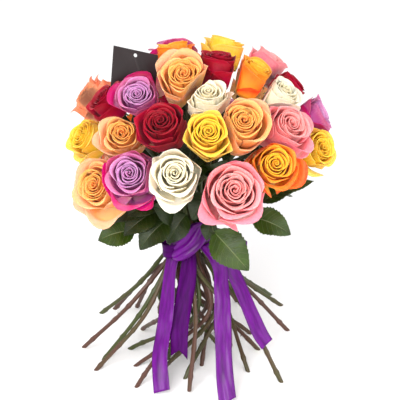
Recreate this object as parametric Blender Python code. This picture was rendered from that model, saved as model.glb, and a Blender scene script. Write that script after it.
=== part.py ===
"""Hand-tied bouquet of 35 garden roses, standing on its splayed cut stem ends.

The stems cross in a spiral at a twine binding. Above it they fan out into a dome of blooms, below it
they stand on the ground like a tripod. A satin ribbon is knotted over the twine and a gift card is
tucked between the blooms. Units are metres, +Z up, the ground is z = 0.
"""
import math
import random

import bmesh
import bpy
import numpy as np
from mathutils import Matrix, Vector

MM = 0.001
SEED = 12

# The dome of blooms and the binding point of the stems.
DOME_CENTRE = Vector((12 * MM, 0, 295 * MM))
DOME_RADIUS = 158 * MM
TIE = Vector((0, 0, 203 * MM))

# One row for each rose: name, colour, bearing and height of its place on the dome (degrees, seen from
# the dome's centre), rise above the dome (mm), bearing and height of the way it faces, width (mm).
ROSES = (
    ("lilac_upper_left", "lilac", -141, 51, 9, -100, 50, 70),
    ("coral_left", "coral", 168, 31, 20, 170, 36, 74),
    ("red_left", "red", -172, 40, 8, -170, 48, 66),
    ("peach_top", "peach", -109, 67, 8, -98, 50, 80),
    ("sunset_top", "sunset", 140, 73, 2, 115, 72, 74),
    ("lilac_top", "lilac", 118, 60, 8, 118, 57, 72),
    ("red_front", "red", -114, 42, 2, -104, 50, 76),
    ("white_top", "white", -84, 59, 0, -85, 64, 70),
    ("yellow_top", "yellow", 62, 66, 9, 52, 66, 70),
    ("red_top", "red", -50, 77, 3, 60, 82, 76),
    ("sunset_upper_right", "sunset", -24, 63, 5, 0, 60, 76),
    ("pink_top_right", "pink", 30, 52, 12, 28, 50, 72),
    ("red_right", "red", 10, 42, 9, 12, 40, 66),
    ("white_right", "white", -20, 48, 7, -20, 54, 70),
    ("lilac_right", "lilac", 2, 26, 12, 2, 26, 76),
    ("peach_right", "peach", -64, 42, 4, -82, 46, 80),
    ("pink_right", "pink", -35, 34, 2, -48, 44, 82),
    ("yellow_left", "yellow", -171, 20, 8, -152, 34, 68),
    ("peach_left", "peach", -140, 33, 0, -98, 42, 66),
    ("peach_lower_left", "peach", -144, 6, 3, -126, 30, 80),
    ("lilac_lower_left", "lilac", -124, 17, 6, -104, 37, 78),
    ("white_lower", "white", -102, 21, 8, -92, 34, 76),
    ("yellow_centre", "yellow", -86, 39, 8, -88, 42, 74),
    ("sunset_right", "sunset", -52, 21, 5, -80, 34, 74),
    ("yellow_right", "yellow", -14, 16, 8, -42, 30, 70),
    ("pink_lower", "pink", -76, 13, 12, -84, 36, 90),
    ("white_back", "white", 88, 37, 2, 88, 46, 70),
    ("peach_back_right", "peach", 56, 28, 1, 56, 38, 70),
    ("pink_back_left", "pink", 130, 30, 1, 132, 40, 70),
    ("yellow_back_right", "yellow", 30, 11, 1, 30, 26, 68),
    ("red_back", "red", 104, 13, 1, 104, 26, 70),
    ("lilac_back", "lilac", 76, 6, 1, 76, 24, 70),
    ("sunset_back_left", "sunset", 130, 2, 0, 130, 20, 68),
    ("coral_back_left", "coral", 157, 2, 0, 160, 20, 68),
    ("pink_back_right", "pink", 52, -6, 0, 50, 16, 66),
)

PETAL_COLOURS = {
    "lilac": (0.62, 0.30, 0.58),
    "coral": (0.87, 0.26, 0.12),
    "red": (0.36, 0.004, 0.02),
    "peach": (0.90, 0.45, 0.22),
    "sunset": (0.93, 0.25, 0.02),
    "white": (0.85, 0.82, 0.66),
    "yellow": (0.88, 0.58, 0.06),
    "pink": (0.85, 0.24, 0.30),
}

# A bloom, as shares of its width.
MIDDLE_HEIGHT = 25 * MM
PETAL_THICKNESS = 0.8 * MM
OUTER_PETALS = 5
PETAL_LENGTH = 0.76
PETAL_HALF_ANGLE = 40
PETAL_SLANT = 0.045
PETAL_LEANS = ((0.0, 84), (0.25, 50), (0.55, 14), (0.82, 46), (1.0, 118))
PETAL_POINTS = (
    (0.0, 0.10), (-0.95, 0.42), (0.0, 0.50), (0.95, 0.42),
    (-1.0, 0.78), (0.0, 0.86), (1.0, 0.78), (0.0, 1.0),
)
PETAL_FACES = (
    (0, 2, 1), (0, 3, 2), (1, 2, 5), (1, 5, 4), (2, 3, 5), (3, 6, 5), (4, 5, 7), (5, 6, 7),
)
PETAL_RIM = (0, 3, 6, 7, 4, 1)
PETAL_ROOT_RADIUS = 0.02
CORE_SIDES = 6
# Rings of the core: radius, height, and how much the rims of its furled petals rise and fall.
CORE_RINGS = (
    (0.105, 0.0, 0.0), (0.34, 0.55, 0.035), (0.25, 0.45, 0.02), (0.175, 0.60, 0.03), (0.085, 0.51, 0.01),
)
CORE_RING_TURN = 0.3
CORE_LOBES = 3
CORE_LOBE_REACH = 1.6
CORE_TIP = 0.63
SCRAP_FACES = 24

# Room left between two blooms, and how softly a petal bends to keep out of it.
BLOOM_GAP = 0.7 * MM
PETAL_SOFTNESS = 7 * MM
NEIGHBOUR_REACH = 95 * MM
CARD_GAP = 0.4 * MM
CARD_SOFTNESS = 1.0 * MM
CARD_NEIGHBOUR_REACH = 75 * MM
WALL_ROUNDS = 4

# Stems: rings of stems at the binding, from the middle out.
STEM_RADIUS = 3.1 * MM
STEM_SIDES = 5
STEM_GAP = 0.35 * MM
PRESSED = 0.66
TIE_RINGS = ((1, 2.6 * MM), (6, 6.6 * MM), (12, 14.8 * MM), (16, 22.2 * MM))
# How many neighbouring stems of each ring are joined where they are pressed together.
BUNCHES = ((1,), (3, 3), (3, 3, 3, 3), (3, 3, 3, 3, 2, 2))
# Degrees round the binding from a stem's foot to its slot, and how early a foot off that bearing shows.
SPIRAL = -80
FOOT_BEND = 0.33
SHANK = 38 * MM
# Upper bow of a stem: reach of its two handles and where along it the path has points.
BOW_HANDLE = 0.30
BOW_SHARES = (0.33, 0.7)
WAIST_POINT = 3
FIRST_BEARING = 30.0
EASE_ROUNDS = 400
EASE_STEP = 1.2
# Feet of the stems of each ring: bearing (degrees), distance from the middle and height of the cut (mm).
CENTRE_FOOT = 0.4
FEET = (
    ((0, 0, 0),),
    ((-137, 50, 0), (-75, 52, 0), (-20, 50, 0), (40, 54, 0), (95, 52, 0), (165, 54, 0)),
    ((-148, 98, 0), (-122, 92, 3), (-97, 84, 0), (-66, 100, 0), (-39, 104, 0), (-8, 98, 4),
     (22, 96, 0), (52, 98, 0), (85, 92, 0), (118, 96, 0), (150, 90, 2), (-176, 94, 0)),
    ((-175, 163, 8), (-165, 136, 0), (-156, 154, 0), (-127, 132, 0), (-92, 122, 5), (-74, 154, 0),
     (-36, 158, 0), (8, 145, 16), (25, 150, 34), (40, 158, 30), (62, 150, 0), (86, 146, 8),
     (108, 152, 0), (128, 146, 0), (144, 152, 12), (158, 152, 24)),
)
HIP_LENGTH = 14 * MM
# Hip and sepals, as distance below the bloom and radius.
HIP_SHOULDER = (6.0 * MM, 4.6 * MM)
SEPAL_UNDERSIDE = (1.8 * MM, 6.4 * MM)
SEPAL_TOP = (0.3 * MM, 6.4 * MM)
SEPAL_TIP = (7.0 * MM, 19.0 * MM)

# Leaves: place of the leaf's foot and tip (mm), bearing and height of the way its face looks, width (mm).
LEAVES = (
    ((-80, -54, 226), (-131, -60, 214), -100, 50, 46),
    ((-34, -60, 246), (-72, -84, 212), -95, 55, 46),
    ((-8, -56, 252), (-34, -72, 214), -100, 45, 40),
    ((26, -50, 238), (20, -66, 216), -90, 55, 24),
    ((30, -62, 228), (78, -94, 184), -90, 28, 52),
    ((82, -44, 242), (138, -54, 220), -75, 50, 44),
    ((98, -16, 250), (170, -12, 282), -80, 70, 36),
    ((88, 26, 240), (146, 44, 232), 20, 70, 44),
    ((60, 58, 236), (104, 100, 226), 45, 65, 46),
    ((22, 76, 238), (40, 138, 228), 75, 65, 46),
    ((-24, 76, 236), (-46, 136, 222), 110, 65, 44),
    ((-62, 58, 234), (-106, 98, 226), 140, 65, 46),
    ((-88, 20, 232), (-148, 34, 230), 170, 65, 44),
    ((8, 52, 222), (4, 92, 200), 90, 50, 34),
    ((52, 20, 218), (92, 34, 198), 20, 50, 34),
    ((-50, 22, 216), (-92, 36, 196), 160, 50, 34),
)
LEAF_STATIONS = (
    (0.0, 0.0), (0.14, 0.62), (0.30, 0.86), (0.44, 1.0), (0.60, 0.82), (0.78, 0.60), (1.0, 0.0),
)
LEAF_THICKNESS = 0.7 * MM
LEAF_ARCH = 0.10
LEAF_FOLD = 0.16
STALK_RADIUS = 1.1 * MM
STALK_SIDES = 3
STALK_INTO_BLADE = 0.10

# Twine and ribbon.
TWINE_RADIUS = 1.0 * MM
TWINE_HALF_HEIGHT = 1.6 * MM
TWINE_SIDES = 18
TWINE_GAP = 0.4 * MM
RIBBON_WIDTH = 25 * MM
RIBBON_THICKNESS = 0.8 * MM
RIBBON_GAP = 0.4 * MM
WRAP_HALF_HEIGHT = 14 * MM
WRAP_SIDES = 20
WRAP_OVER_STEMS = 1.2 * MM
WRAP_OVER_TWINE = 0.8 * MM
# Ribbon tails: name, layer at the wrap and stand-off from the stems (mm), then from the knot down the
# bearing, the height (mm, 0 for the wrap's lower edge), the bearing the band faces and its share of the
# full width.
TAILS = (
    ("ribbon_tail_left", 0, 4, ((-137, 0, -132, 0.8), (-129, 160, -132, 0.9), (-119, 125, -130, 1),
                                (-115, 95, -128, 1), (-117, 70, -124, 1), (-115, 45, -118, 1),
                                (-111, 22, -112, 1), (-108, 3, -108, 1))),
    ("ribbon_tail_dark", 0, 4, ((-95, 0, -92, 0.5), (-97, 162, -92, 0.9), (-98, 143, -92, 1),
                                (-101, 111, -92, 1), (-102, 84, -94, 1), (-100, 49, -112, 1))),
    ("ribbon_tail_middle", 1.8, 8, ((-58, 0, -50, 0.8), (-44, 172, -52, 0.9), (-42, 157, -56, 1),
                                    (-52, 137, -62, 1), (-57, 121, -66, 1), (-62, 101, -70, 1),
                                    (-66, 77, -72, 1), (-69, 54, -74, 1), (-71, 30, -76, 1),
                                    (-72, 3, -76, 1))),
    ("ribbon_tail_right", 0, 7, ((-42, 0, -50, 0.8), (-26, 160, -46, 0.9), (-22, 141, -48, 1),
                                 (-25, 126, -50, 1), (-29, 109, -52, 1), (-33, 86, -54, 1),
                                 (-35, 61, -56, 1), (-34, 47, -56, 1))),
)
TAIL_STEP_OUT = 2 * MM
# Sections of the knot: bearing, rise over the binding, half height and half depth (mm).
KNOT_SECTIONS = (
    (-62, 22, 8, 3.5), (-72, 16, 13, 5.5), (-83, 7, 16, 7), (-95, -3, 15, 7.5), (-107, -12, 14, 7),
    (-118, -21, 11, 5.5), (-126, -27, 6, 3),
)
KNOT_SIDES = 8
KNOT_OVER_STEMS = 7 * MM
# Middle line of the loop (mm, rise over the binding), and how its band leans out.
LOOP_POINTS = (
    (-20, -46, -14), (-30, -47, -15), (-38, -44, -16), (-42, -38, -16), (-40, -32, -15), (-33, -30, -13),
)
LOOP_LEAN = -110
LOOP_LEAN_ANGLE = 12
# The short end: distance out from the wrap's side, y, rise over the binding (mm) and lean of the band.
SHORT_END = ((-1.2, -12, -6, 84), (26, -22, -6, 60), (52, -34, -18, 45))
SHORT_END_FACING = -60

# Gift card: middle of its top edge, size, and how it is turned.
CARD_WIDTH = 66 * MM
CARD_HEIGHT = 88 * MM
CARD_THICKNESS = 0.8 * MM
CARD_HOLE_RADIUS = 2.6 * MM
CARD_HOLE_SIDES = 12
CARD_HOLE_DROP = 7 * MM
CARD_MIDDLE = 0.6
CARD_TOP = Vector((-75 * MM, 0, 469 * MM))
CARD_TURN = -22
CARD_ROLL = 4.5
CARD_LEAN = -4


def heading(bearing, height):
    """Unit vector of a bearing and a height in degrees."""
    b = math.radians(bearing)
    h = math.radians(height)
    return Vector((math.cos(b) * math.cos(h), math.sin(b) * math.cos(h), math.sin(h)))


def wrapped(angle):
    """An angle in degrees, brought between -180 and 180."""
    return (angle + 180) % 360 - 180


def facing_matrix(origin, axis, spin):
    """Local +Z along the axis, turned about it by spin."""
    turn = axis.to_track_quat("Z", "Y").to_matrix().to_4x4()
    return Matrix.Translation(origin) @ turn @ Matrix.Rotation(spin, 4, "Z")


def new_object(name, vertices, faces, material=None):
    mesh = bpy.data.meshes.new(name)
    mesh.from_pydata([tuple(v) for v in vertices], [], faces)
    mesh.validate()
    thing = bpy.data.objects.new(name, mesh)
    bpy.context.scene.collection.objects.link(thing)
    if material:
        mesh.materials.append(material)
    return thing


def new_material(name, colour, roughness, metallic=0.0):
    material = bpy.data.materials.new(name)
    material.use_nodes = True
    shader = material.node_tree.nodes["Principled BSDF"]
    shader.inputs["Base Color"].default_value = (*colour, 1)
    shader.inputs["Roughness"].default_value = roughness
    shader.inputs["Metallic"].default_value = metallic
    return material


def thick_sheet(points, faces, rim, thickness):
    """Closed blade round a sheet of triangles, split alike on both faces. The rim runs round the sheet
    the same way as the faces do."""
    normals = [Vector((0, 0, 0)) for _ in points]
    for a, b, c in faces:
        normal = (points[b] - points[a]).cross(points[c] - points[a])
        for index in (a, b, c):
            normals[index] += normal
    half = thickness / 2
    upper = [p + n.normalized() * half for p, n in zip(points, normals)]
    lower = [p - n.normalized() * half for p, n in zip(points, normals)]
    count = len(points)
    solid = list(faces)
    solid += [(a + count, c + count, b + count) for a, b, c in faces]
    for a, b in zip(rim, rim[1:] + rim[:1]):
        solid.append((b, a, a + count))
        solid.append((b, a + count, b + count))
    return upper + lower, solid


def drop_scraps(mesh):
    """Keep only the largest body: a sliver that touches the rest at a corner is cut away."""
    work = bmesh.new()
    work.from_mesh(mesh)
    bodies = []
    seen = set()
    for face in work.faces:
        if face in seen:
            continue
        body = [face]
        seen.add(face)
        for member in body:
            for edge in member.edges:
                for other in edge.link_faces:
                    if other not in seen:
                        seen.add(other)
                        body.append(other)
        bodies.append(body)
    bodies.sort(key=len)
    scraps = [face for body in bodies[:-1] if len(body) < SCRAP_FACES for face in body]
    bmesh.ops.delete(work, geom=scraps, context="FACES")
    work.to_mesh(mesh)
    work.free()


def join_solids(name, pieces, material):
    """One body of many overlapping closed pieces: a Boolean union on a collection."""
    base = new_object(name, *pieces[0], material)
    others = bpy.data.collections.new(name + "_pieces")
    bpy.context.scene.collection.children.link(others)
    parts = []
    for vertices, faces in pieces[1:]:
        part = new_object(name + "_piece", vertices, faces)
        bpy.context.scene.collection.objects.unlink(part)
        others.objects.link(part)
        parts.append(part)
    union = base.modifiers.new("union", "BOOLEAN")
    union.operation = "UNION"
    union.operand_type = "COLLECTION"
    union.collection = others
    union.solver = "MANIFOLD"
    bpy.context.view_layer.update()
    graph = bpy.context.evaluated_depsgraph_get()
    joined = bpy.data.meshes.new_from_object(base.evaluated_get(graph))
    base.modifiers.remove(union)
    drop_scraps(joined)
    loose = base.data
    base.data = joined
    bpy.data.meshes.remove(loose)
    joined.materials.clear()
    joined.materials.append(material)
    for part in parts:
        mesh = part.data
        bpy.data.objects.remove(part)
        bpy.data.meshes.remove(mesh)
    bpy.data.collections.remove(others)
    joined.name = name
    return base


# Blooms

class Rose:
    """Place, facing and size of one rose."""

    def __init__(self, number, row):
        self.name, self.colour, bearing, height, rise, face_bearing, face_height, width = row
        self.number = number
        self.middle = DOME_CENTRE + heading(bearing, height) * (DOME_RADIUS + rise * MM)
        self.axis = heading(face_bearing, face_height)
        self.width = width * MM
        self.base = self.middle - self.axis * MIDDLE_HEIGHT
        self.walls = []


def set_walls(roses, card):
    """Planes that keep each bloom out of its neighbours' room and off the card."""
    for rose in roses:
        for other in roses:
            gap = other.middle - rose.middle
            if other is rose or gap.length > NEIGHBOUR_REACH:
                continue
            share = rose.width / (rose.width + other.width)
            limit = gap.length * share - BLOOM_GAP
            rose.walls.append((rose.middle.copy(), gap.normalized(), limit, PETAL_SOFTNESS))
        normal = card.to_3x3() @ Vector((0, 0, 1))
        side = (rose.middle - card.translation).dot(normal)
        if (rose.middle - card_middle(card)).length < CARD_NEIGHBOUR_REACH:
            out = -normal if side > 0 else normal
            limit = abs(side) - CARD_THICKNESS / 2 - CARD_GAP
            rose.walls.append((rose.middle.copy(), out, limit, CARD_SOFTNESS))


def held_back(point, walls):
    """The point, bent softly back behind each wall."""
    for _ in range(WALL_ROUNDS):
        for middle, normal, limit, softness in walls:
            reach = (point - middle).dot(normal)
            start = limit - softness
            if reach > start:
                kept = start + softness * (1 - math.exp((start - reach) / softness))
                point = point - normal * (reach - kept)
    return point


def lean_at(v):
    for (low, lean_low), (high, lean_high) in zip(PETAL_LEANS, PETAL_LEANS[1:]):
        if v <= high:
            share = (v - low) / (high - low)
            share = share * share * (3 - 2 * share)
            return lean_low + (lean_high - lean_low) * share
    return PETAL_LEANS[-1][1]


def petal_profile(v, steps=20):
    """Radius and height of a petal's midline at v, as shares of the bloom's width."""
    radius = PETAL_ROOT_RADIUS
    height = 0.0
    for step in range(steps):
        lean = math.radians(lean_at(v * (step + 0.5) / steps))
        radius += math.sin(lean) * PETAL_LENGTH * v / steps
        height += math.cos(lean) * PETAL_LENGTH * v / steps
    return radius, height


def outer_petal(rose, place, draw):
    """One outer petal as a thin blade with its tip rolled back."""
    theta = math.tau * place / OUTER_PETALS + draw.uniform(-0.05, 0.05)
    size = rose.width * draw.uniform(0.97, 1.04)
    roll = draw.uniform(0.0, 0.03)
    points = []
    for u, v in PETAL_POINTS:
        radius, height = petal_profile(v)
        radius += PETAL_SLANT * u * min(1.0, v / PETAL_POINTS[1][1])
        height -= roll * u * u
        angle = theta + math.radians(PETAL_HALF_ANGLE) * u
        local = Vector((radius * math.cos(angle), radius * math.sin(angle), height)) * size
        points.append(held_back(rose.matrix @ local, rose.walls))
    return thick_sheet(points, PETAL_FACES, PETAL_RIM, PETAL_THICKNESS)


def furled_core(rose, draw):
    """The tight middle of a bloom: furled petal rims raised as rings round a bud."""
    vertices = []
    phase = draw.uniform(0, math.tau)
    for ring, (radius, height, swing) in enumerate(CORE_RINGS):
        for side in range(CORE_SIDES):
            angle = math.tau * side / CORE_SIDES + CORE_RING_TURN * ring
            wave = math.cos(CORE_LOBES * angle + phase + 2 * ring)
            r = radius * (1 + CORE_LOBE_REACH * swing * wave)
            z = height + swing * wave
            local = Vector((r * math.cos(angle), r * math.sin(angle), z)) * rose.width
            vertices.append(held_back(rose.matrix @ local, rose.walls))
    vertices.append(rose.matrix @ Vector((0, 0, CORE_TIP * rose.width)))
    faces = [tuple(reversed(range(CORE_SIDES)))]
    for ring in range(len(CORE_RINGS) - 1):
        for side in range(CORE_SIDES):
            a = ring * CORE_SIDES + side
            b = ring * CORE_SIDES + (side + 1) % CORE_SIDES
            faces.append((a, b, b + CORE_SIDES))
            faces.append((a, b + CORE_SIDES, a + CORE_SIDES))
    last = (len(CORE_RINGS) - 1) * CORE_SIDES
    for side in range(CORE_SIDES):
        faces.append((last + side, last + (side + 1) % CORE_SIDES, len(vertices) - 1))
    return vertices, faces


def make_bloom(rose, materials):
    draw = random.Random(SEED + rose.number)
    rose.matrix = facing_matrix(rose.base, rose.axis, draw.uniform(0, math.tau))
    pieces = [furled_core(rose, draw)]
    pieces += [outer_petal(rose, place, draw) for place in range(OUTER_PETALS)]
    return join_solids("bloom_" + rose.name, pieces, materials[rose.colour])


# Stems

class Stem:
    """One stem: its rose, its ring and slot at the binding, and its path from foot to hip."""


def ring_bearings(bunches, radius, tilt):
    """Bearings of a ring's stems: closer inside a bunch, where they are joined, than between bunches."""
    close = 2 * STEM_RADIUS * PRESSED
    apart = 2 * STEM_RADIUS + STEM_GAP
    steps = []
    for bunch in bunches:
        steps += [close] * (bunch - 1) + [apart]
    angles = [2 * math.asin(min(1.0, step / (2 * radius * math.cos(tilt)))) for step in steps]
    spare = (math.tau - sum(angles)) / len(bunches)
    bearings = [0.0]
    for index, angle in enumerate(angles[:-1]):
        extra = spare if steps[index] == apart else 0.0
        bearings.append(bearings[-1] + angle + extra)
    return [math.degrees(b) for b in bearings]


def turned_to_match(targets, bearings):
    """The turn and the cyclic shift that bring the ring's bearings closest to the sorted targets."""
    best = None
    count = len(targets)
    for shift in range(count):
        misses = [wrapped(targets[i] - bearings[(i + shift) % count]) for i in range(count)]
        vector = sum((complex(math.cos(math.radians(m)), math.sin(math.radians(m))) for m in misses), 0j)
        turn = math.degrees(math.atan2(vector.imag, vector.real))
        cost = sum(wrapped(m - turn) ** 2 for m in misses)
        if best is None or cost < best[0]:
            best = (cost, shift, turn)
    return best[1], best[2]


def plan_stems(roses):
    """Give each rose a slot at the binding and a foot. The top blooms stand on the inner stems."""
    by_slope = sorted(roses, key=lambda rose: -(rose.middle - TIE).normalized().z)
    stems = []
    first = 0
    for ring, (count, radius) in enumerate(TIE_RINGS):
        heads = sorted(by_slope[first:first + count], key=lambda rose: math.atan2(rose.base.y, rose.base.x))
        first += count
        feet = sorted(FEET[ring], key=lambda foot: wrapped(foot[0]))
        tilt = math.atan2(sum(foot[1] for foot in feet) / count * MM, TIE.z)
        bearings = ring_bearings(BUNCHES[ring], radius, tilt) if ring else [FIRST_BEARING]
        targets = [math.degrees(math.atan2(rose.base.y, rose.base.x)) - SPIRAL for rose in heads]
        shift, turn = turned_to_match(targets, bearings) if ring else (0, 0.0)
        slots = [(i + shift) % count for i in range(count)]
        waist = [wrapped(bearings[slot] + turn) for slot in slots]
        foot_targets = [bearing - SPIRAL for bearing in waist]
        foot_shift, _ = turned_to_match(foot_targets, [foot[0] for foot in feet])
        for index, rose in enumerate(heads):
            stem = Stem()
            stem.rose = rose
            stem.ring = ring
            stem.slot = slots[index]
            stem.waist = TIE + heading(waist[index], 0) * radius
            bearing, reach, cut = feet[(index + foot_shift) % count]
            stem.foot = heading(bearing, 0) * reach * MM + Vector((0, 0, cut * MM))
            straight = heading(waist[index] - SPIRAL, 0) * reach * MM
            stem.lead = (stem.waist - straight).normalized()
            stray = wrapped(bearing - waist[index] + SPIRAL) * FOOT_BEND if ring else 0.0
            turn_out = Matrix.Rotation(math.radians(stray), 3, "Z")
            stem.knee = turn_out @ stem.waist.lerp(straight, 0.5)
            stem.hip = rose.base - rose.axis * HIP_LENGTH
            stems.append(stem)
    beside = next(stem for stem in stems if stem.ring == 1 and stem.slot == 1)
    centre = stems[0]
    centre.waist = TIE + (beside.waist - TIE).normalized() * TIE_RINGS[0][1]
    centre.foot = beside.foot * CENTRE_FOOT
    centre.knee = centre.waist.lerp(centre.foot, 0.5)
    centre.lead = (centre.waist - centre.foot).normalized()
    return stems


def first_paths(stems):
    """Foot, knee, a point under the binding, binding, two points of the upper bow, and hip."""
    paths = []
    for stem in stems:
        rise = (stem.hip - stem.waist).length
        lead = stem.waist + stem.lead * rise * BOW_HANDLE
        tail = stem.hip - stem.rose.axis * rise * BOW_HANDLE
        path = [stem.foot, stem.knee, stem.waist - stem.lead * SHANK, stem.waist]
        for t in BOW_SHARES:
            s = 1 - t
            bow = stem.waist * s ** 3 + lead * 3 * s * s * t + tail * 3 * s * t * t + stem.hip * t ** 3
            path.append(bow)
        path.append(stem.hip)
        paths.append([tuple(point) for point in path])
    return np.array(paths)


def nearest_between(p1, q1, p2, q2, tiny=1e-16):
    """Shares along two sets of segments of their nearest points."""
    d1 = q1 - p1
    d2 = q2 - p2
    r = p1 - p2
    a = (d1 * d1).sum(-1)
    e = (d2 * d2).sum(-1)
    f = (d2 * r).sum(-1)
    c = (d1 * r).sum(-1)
    b = (d1 * d2).sum(-1)
    base = a * e - b * b
    s = np.where(base > tiny, np.clip((b * f - c * e) / np.maximum(base, tiny), 0, 1), 0.0)
    t = np.clip((b * s + f) / e, 0, 1)
    s = np.clip((b * t - c) / a, 0, 1)
    return s, t


def press_apart(paths):
    """Ease the stems out of one another, with feet, binding and hips held where they are."""
    count, points, _ = paths.shape
    legs = points - 1
    first, second = np.triu_indices(count * legs, 1)
    keep = first // legs != second // legs
    first = first[keep]
    second = second[keep]
    i, j = first // legs, second // legs
    u, v = first % legs, second % legs
    loose = np.ones(points)
    loose[[0, WAIST_POINT, points - 1]] = 0.0
    need = 2 * STEM_RADIUS + STEM_GAP * 1.3
    for _ in range(EASE_ROUNDS):
        p1, q1 = paths[i, u], paths[i, u + 1]
        p2, q2 = paths[j, v], paths[j, v + 1]
        s, t = nearest_between(p1, q1, p2, q2)
        between = (p1 + (q1 - p1) * s[:, None]) - (p2 + (q2 - p2) * t[:, None])
        distance = np.linalg.norm(between, axis=1)
        close = distance < need
        if not close.any():
            break
        away = between[close] / np.maximum(distance[close], 1e-9)[:, None]
        push = away * (need - distance[close])[:, None] * 0.5
        move = np.zeros_like(paths)
        weight = np.zeros((count, points))
        for index, leg, share, sign in ((i, u, s, 1.0), (j, v, t, -1.0)):
            for end, part in ((0, 1 - share[close]), (1, share[close])):
                np.add.at(move, (index[close], leg[close] + end), sign * push * part[:, None])
                np.add.at(weight, (index[close], leg[close] + end), part)
        scale = loose[None, :, None] / np.maximum(weight, 1.0)[:, :, None]
        paths = paths + move * scale * EASE_STEP
    return paths


def carried_frames(centres):
    """Directions along and across a path, carried smoothly from its start."""
    frames = []
    across = None
    for index, centre in enumerate(centres):
        before = centres[max(index - 1, 0)]
        after = centres[min(index + 1, len(centres) - 1)]
        along = (after - before).normalized()
        if across is None:
            across = along.orthogonal()
        across = (across - along * across.dot(along)).normalized()
        frames.append((along, across))
    return frames


def ring_points(centre, along, across, radius, sides, turn=0.0):
    side_way = along.cross(across)
    points = []
    for side in range(sides):
        angle = math.tau * (side + turn) / sides
        points.append(centre + (across * math.cos(angle) + side_way * math.sin(angle)) * radius)
    return points


def band(first, second, sides):
    """Triangles between two rings of points, given the index at which each starts."""
    faces = []
    for side in range(sides):
        following = (side + 1) % sides
        faces.append((first + side, first + following, second + following))
        faces.append((first + side, second + following, second + side))
    return faces


def tube(centres, radius, sides):
    """Closed tube along a path."""
    vertices = []
    for centre, (along, across) in zip(centres, carried_frames(centres)):
        vertices += ring_points(centre, along, across, radius, sides)
    faces = [tuple(reversed(range(sides)))]
    for index in range(len(centres) - 1):
        faces += band(index * sides, (index + 1) * sides, sides)
    faces.append(tuple(range((len(centres) - 1) * sides, len(centres) * sides)))
    return vertices, faces


def stem_and_hip(stem):
    """The stem from its cut foot to the hip, with five bent-back sepals round the hip's top."""
    rose = stem.rose
    frames = carried_frames(stem.path)
    vertices = []
    for centre, (along, across) in zip(stem.path, frames):
        vertices += ring_points(centre, along, across, STEM_RADIUS, STEM_SIDES)
    foot, (along, _) = stem.path[0], frames[0]
    for index in range(STEM_SIDES):
        point = vertices[index]
        vertices[index] = point - along * ((point.z - foot.z) / along.z)
    across = frames[-1][1]
    across = (across - rose.axis * across.dot(rose.axis)).normalized()
    hip_rings = (HIP_SHOULDER, SEPAL_UNDERSIDE, SEPAL_TOP)
    for drop, radius in hip_rings:
        vertices += ring_points(rose.base - rose.axis * drop, rose.axis, across, radius, STEM_SIDES)
    rings = len(stem.path) + len(hip_rings)
    faces = [tuple(reversed(range(STEM_SIDES)))]
    for index in range(rings - 2):
        faces += band(index * STEM_SIDES, (index + 1) * STEM_SIDES, STEM_SIDES)
    underside = (rings - 2) * STEM_SIDES
    top = (rings - 1) * STEM_SIDES
    faces.append(tuple(range(top, top + STEM_SIDES)))
    drop, reach = SEPAL_TIP
    tips = ring_points(rose.base - rose.axis * drop, rose.axis, across, reach, STEM_SIDES, 0.5)
    for index, tip in enumerate(tips):
        following = (index + 1) % STEM_SIDES
        vertices.append(held_back(tip, rose.walls))
        apex = len(vertices) - 1
        corners = (underside + index, underside + following, top + following, top + index)
        faces += [(a, b, apex) for a, b in zip(corners, corners[1:] + corners[:1])]
    return vertices, faces


# Leaves

def leaf_frame(foot, tip, face):
    along = (tip - foot).normalized()
    across = along.cross(face).normalized()
    up = across.cross(along).normalized()
    return along, across, up


def leaf_blade(foot, tip, face, width):
    """Arched blade folded along its rib, with a cut edge."""
    along, across, up = leaf_frame(foot, tip, face)
    length = (tip - foot).length
    points = []
    for station, breadth in LEAF_STATIONS:
        arch = length * LEAF_ARCH * math.sin(math.pi * station)
        rib = foot + along * (station * length) + up * arch
        points.append(rib)
        if breadth:
            half = width / 2 * breadth
            for side in (-1, 1):
                points.append(rib + across * (side * half) + up * (LEAF_FOLD * half))
    last = len(points) - 1
    ribs = [0] + [1 + 3 * index for index in range(len(LEAF_STATIONS) - 2)] + [last]
    faces = []
    for a, b in zip(ribs, ribs[1:]):
        for side in (1, 2):
            if a == 0:
                loop = (a, b, b + side)
            elif b == last:
                loop = (a, b, a + side)
            else:
                loop = None
            if loop:
                faces.append(loop if side == 1 else loop[::-1])
            elif side == 1:
                faces += [(a, b, b + 1), (a, b + 1, a + 1)]
            else:
                faces += [(a, b + 2, b), (a, a + 2, b + 2)]
    left = [rib + 1 for rib in ribs[1:-1]]
    right = [rib + 2 for rib in ribs[1:-1]]
    faces = [face[::-1] for face in faces]
    rim = tuple([0] + left + [last] + right[::-1])
    return thick_sheet(points, faces, rim, LEAF_THICKNESS)


def nearest_stem(point, stems):
    """The outer stem whose path passes nearest, and the place on it."""
    best = None
    for stem in stems:
        if stem.ring < len(TIE_RINGS) - 1:
            continue
        for a, b in zip(stem.path[WAIST_POINT:], stem.path[WAIST_POINT + 1:]):
            span = b - a
            share = max(0.0, min(1.0, (point - a).dot(span) / span.length_squared))
            place = a + span * share
            if best is None or (point - place).length < best[0]:
                best = ((point - place).length, stem, place)
    return best[1], best[2]


def leaf_pieces(row, stems):
    foot, tip, face_bearing, face_height, width = row
    foot = Vector(foot) * MM
    tip = Vector(tip) * MM
    blade = leaf_blade(foot, tip, heading(face_bearing, face_height), width * MM)
    stem, place = nearest_stem(foot, stems)
    into_blade = foot.lerp(tip, STALK_INTO_BLADE)
    stalk = tube([place, foot, into_blade], STALK_RADIUS, STALK_SIDES)
    return stem, [blade, stalk]


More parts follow.
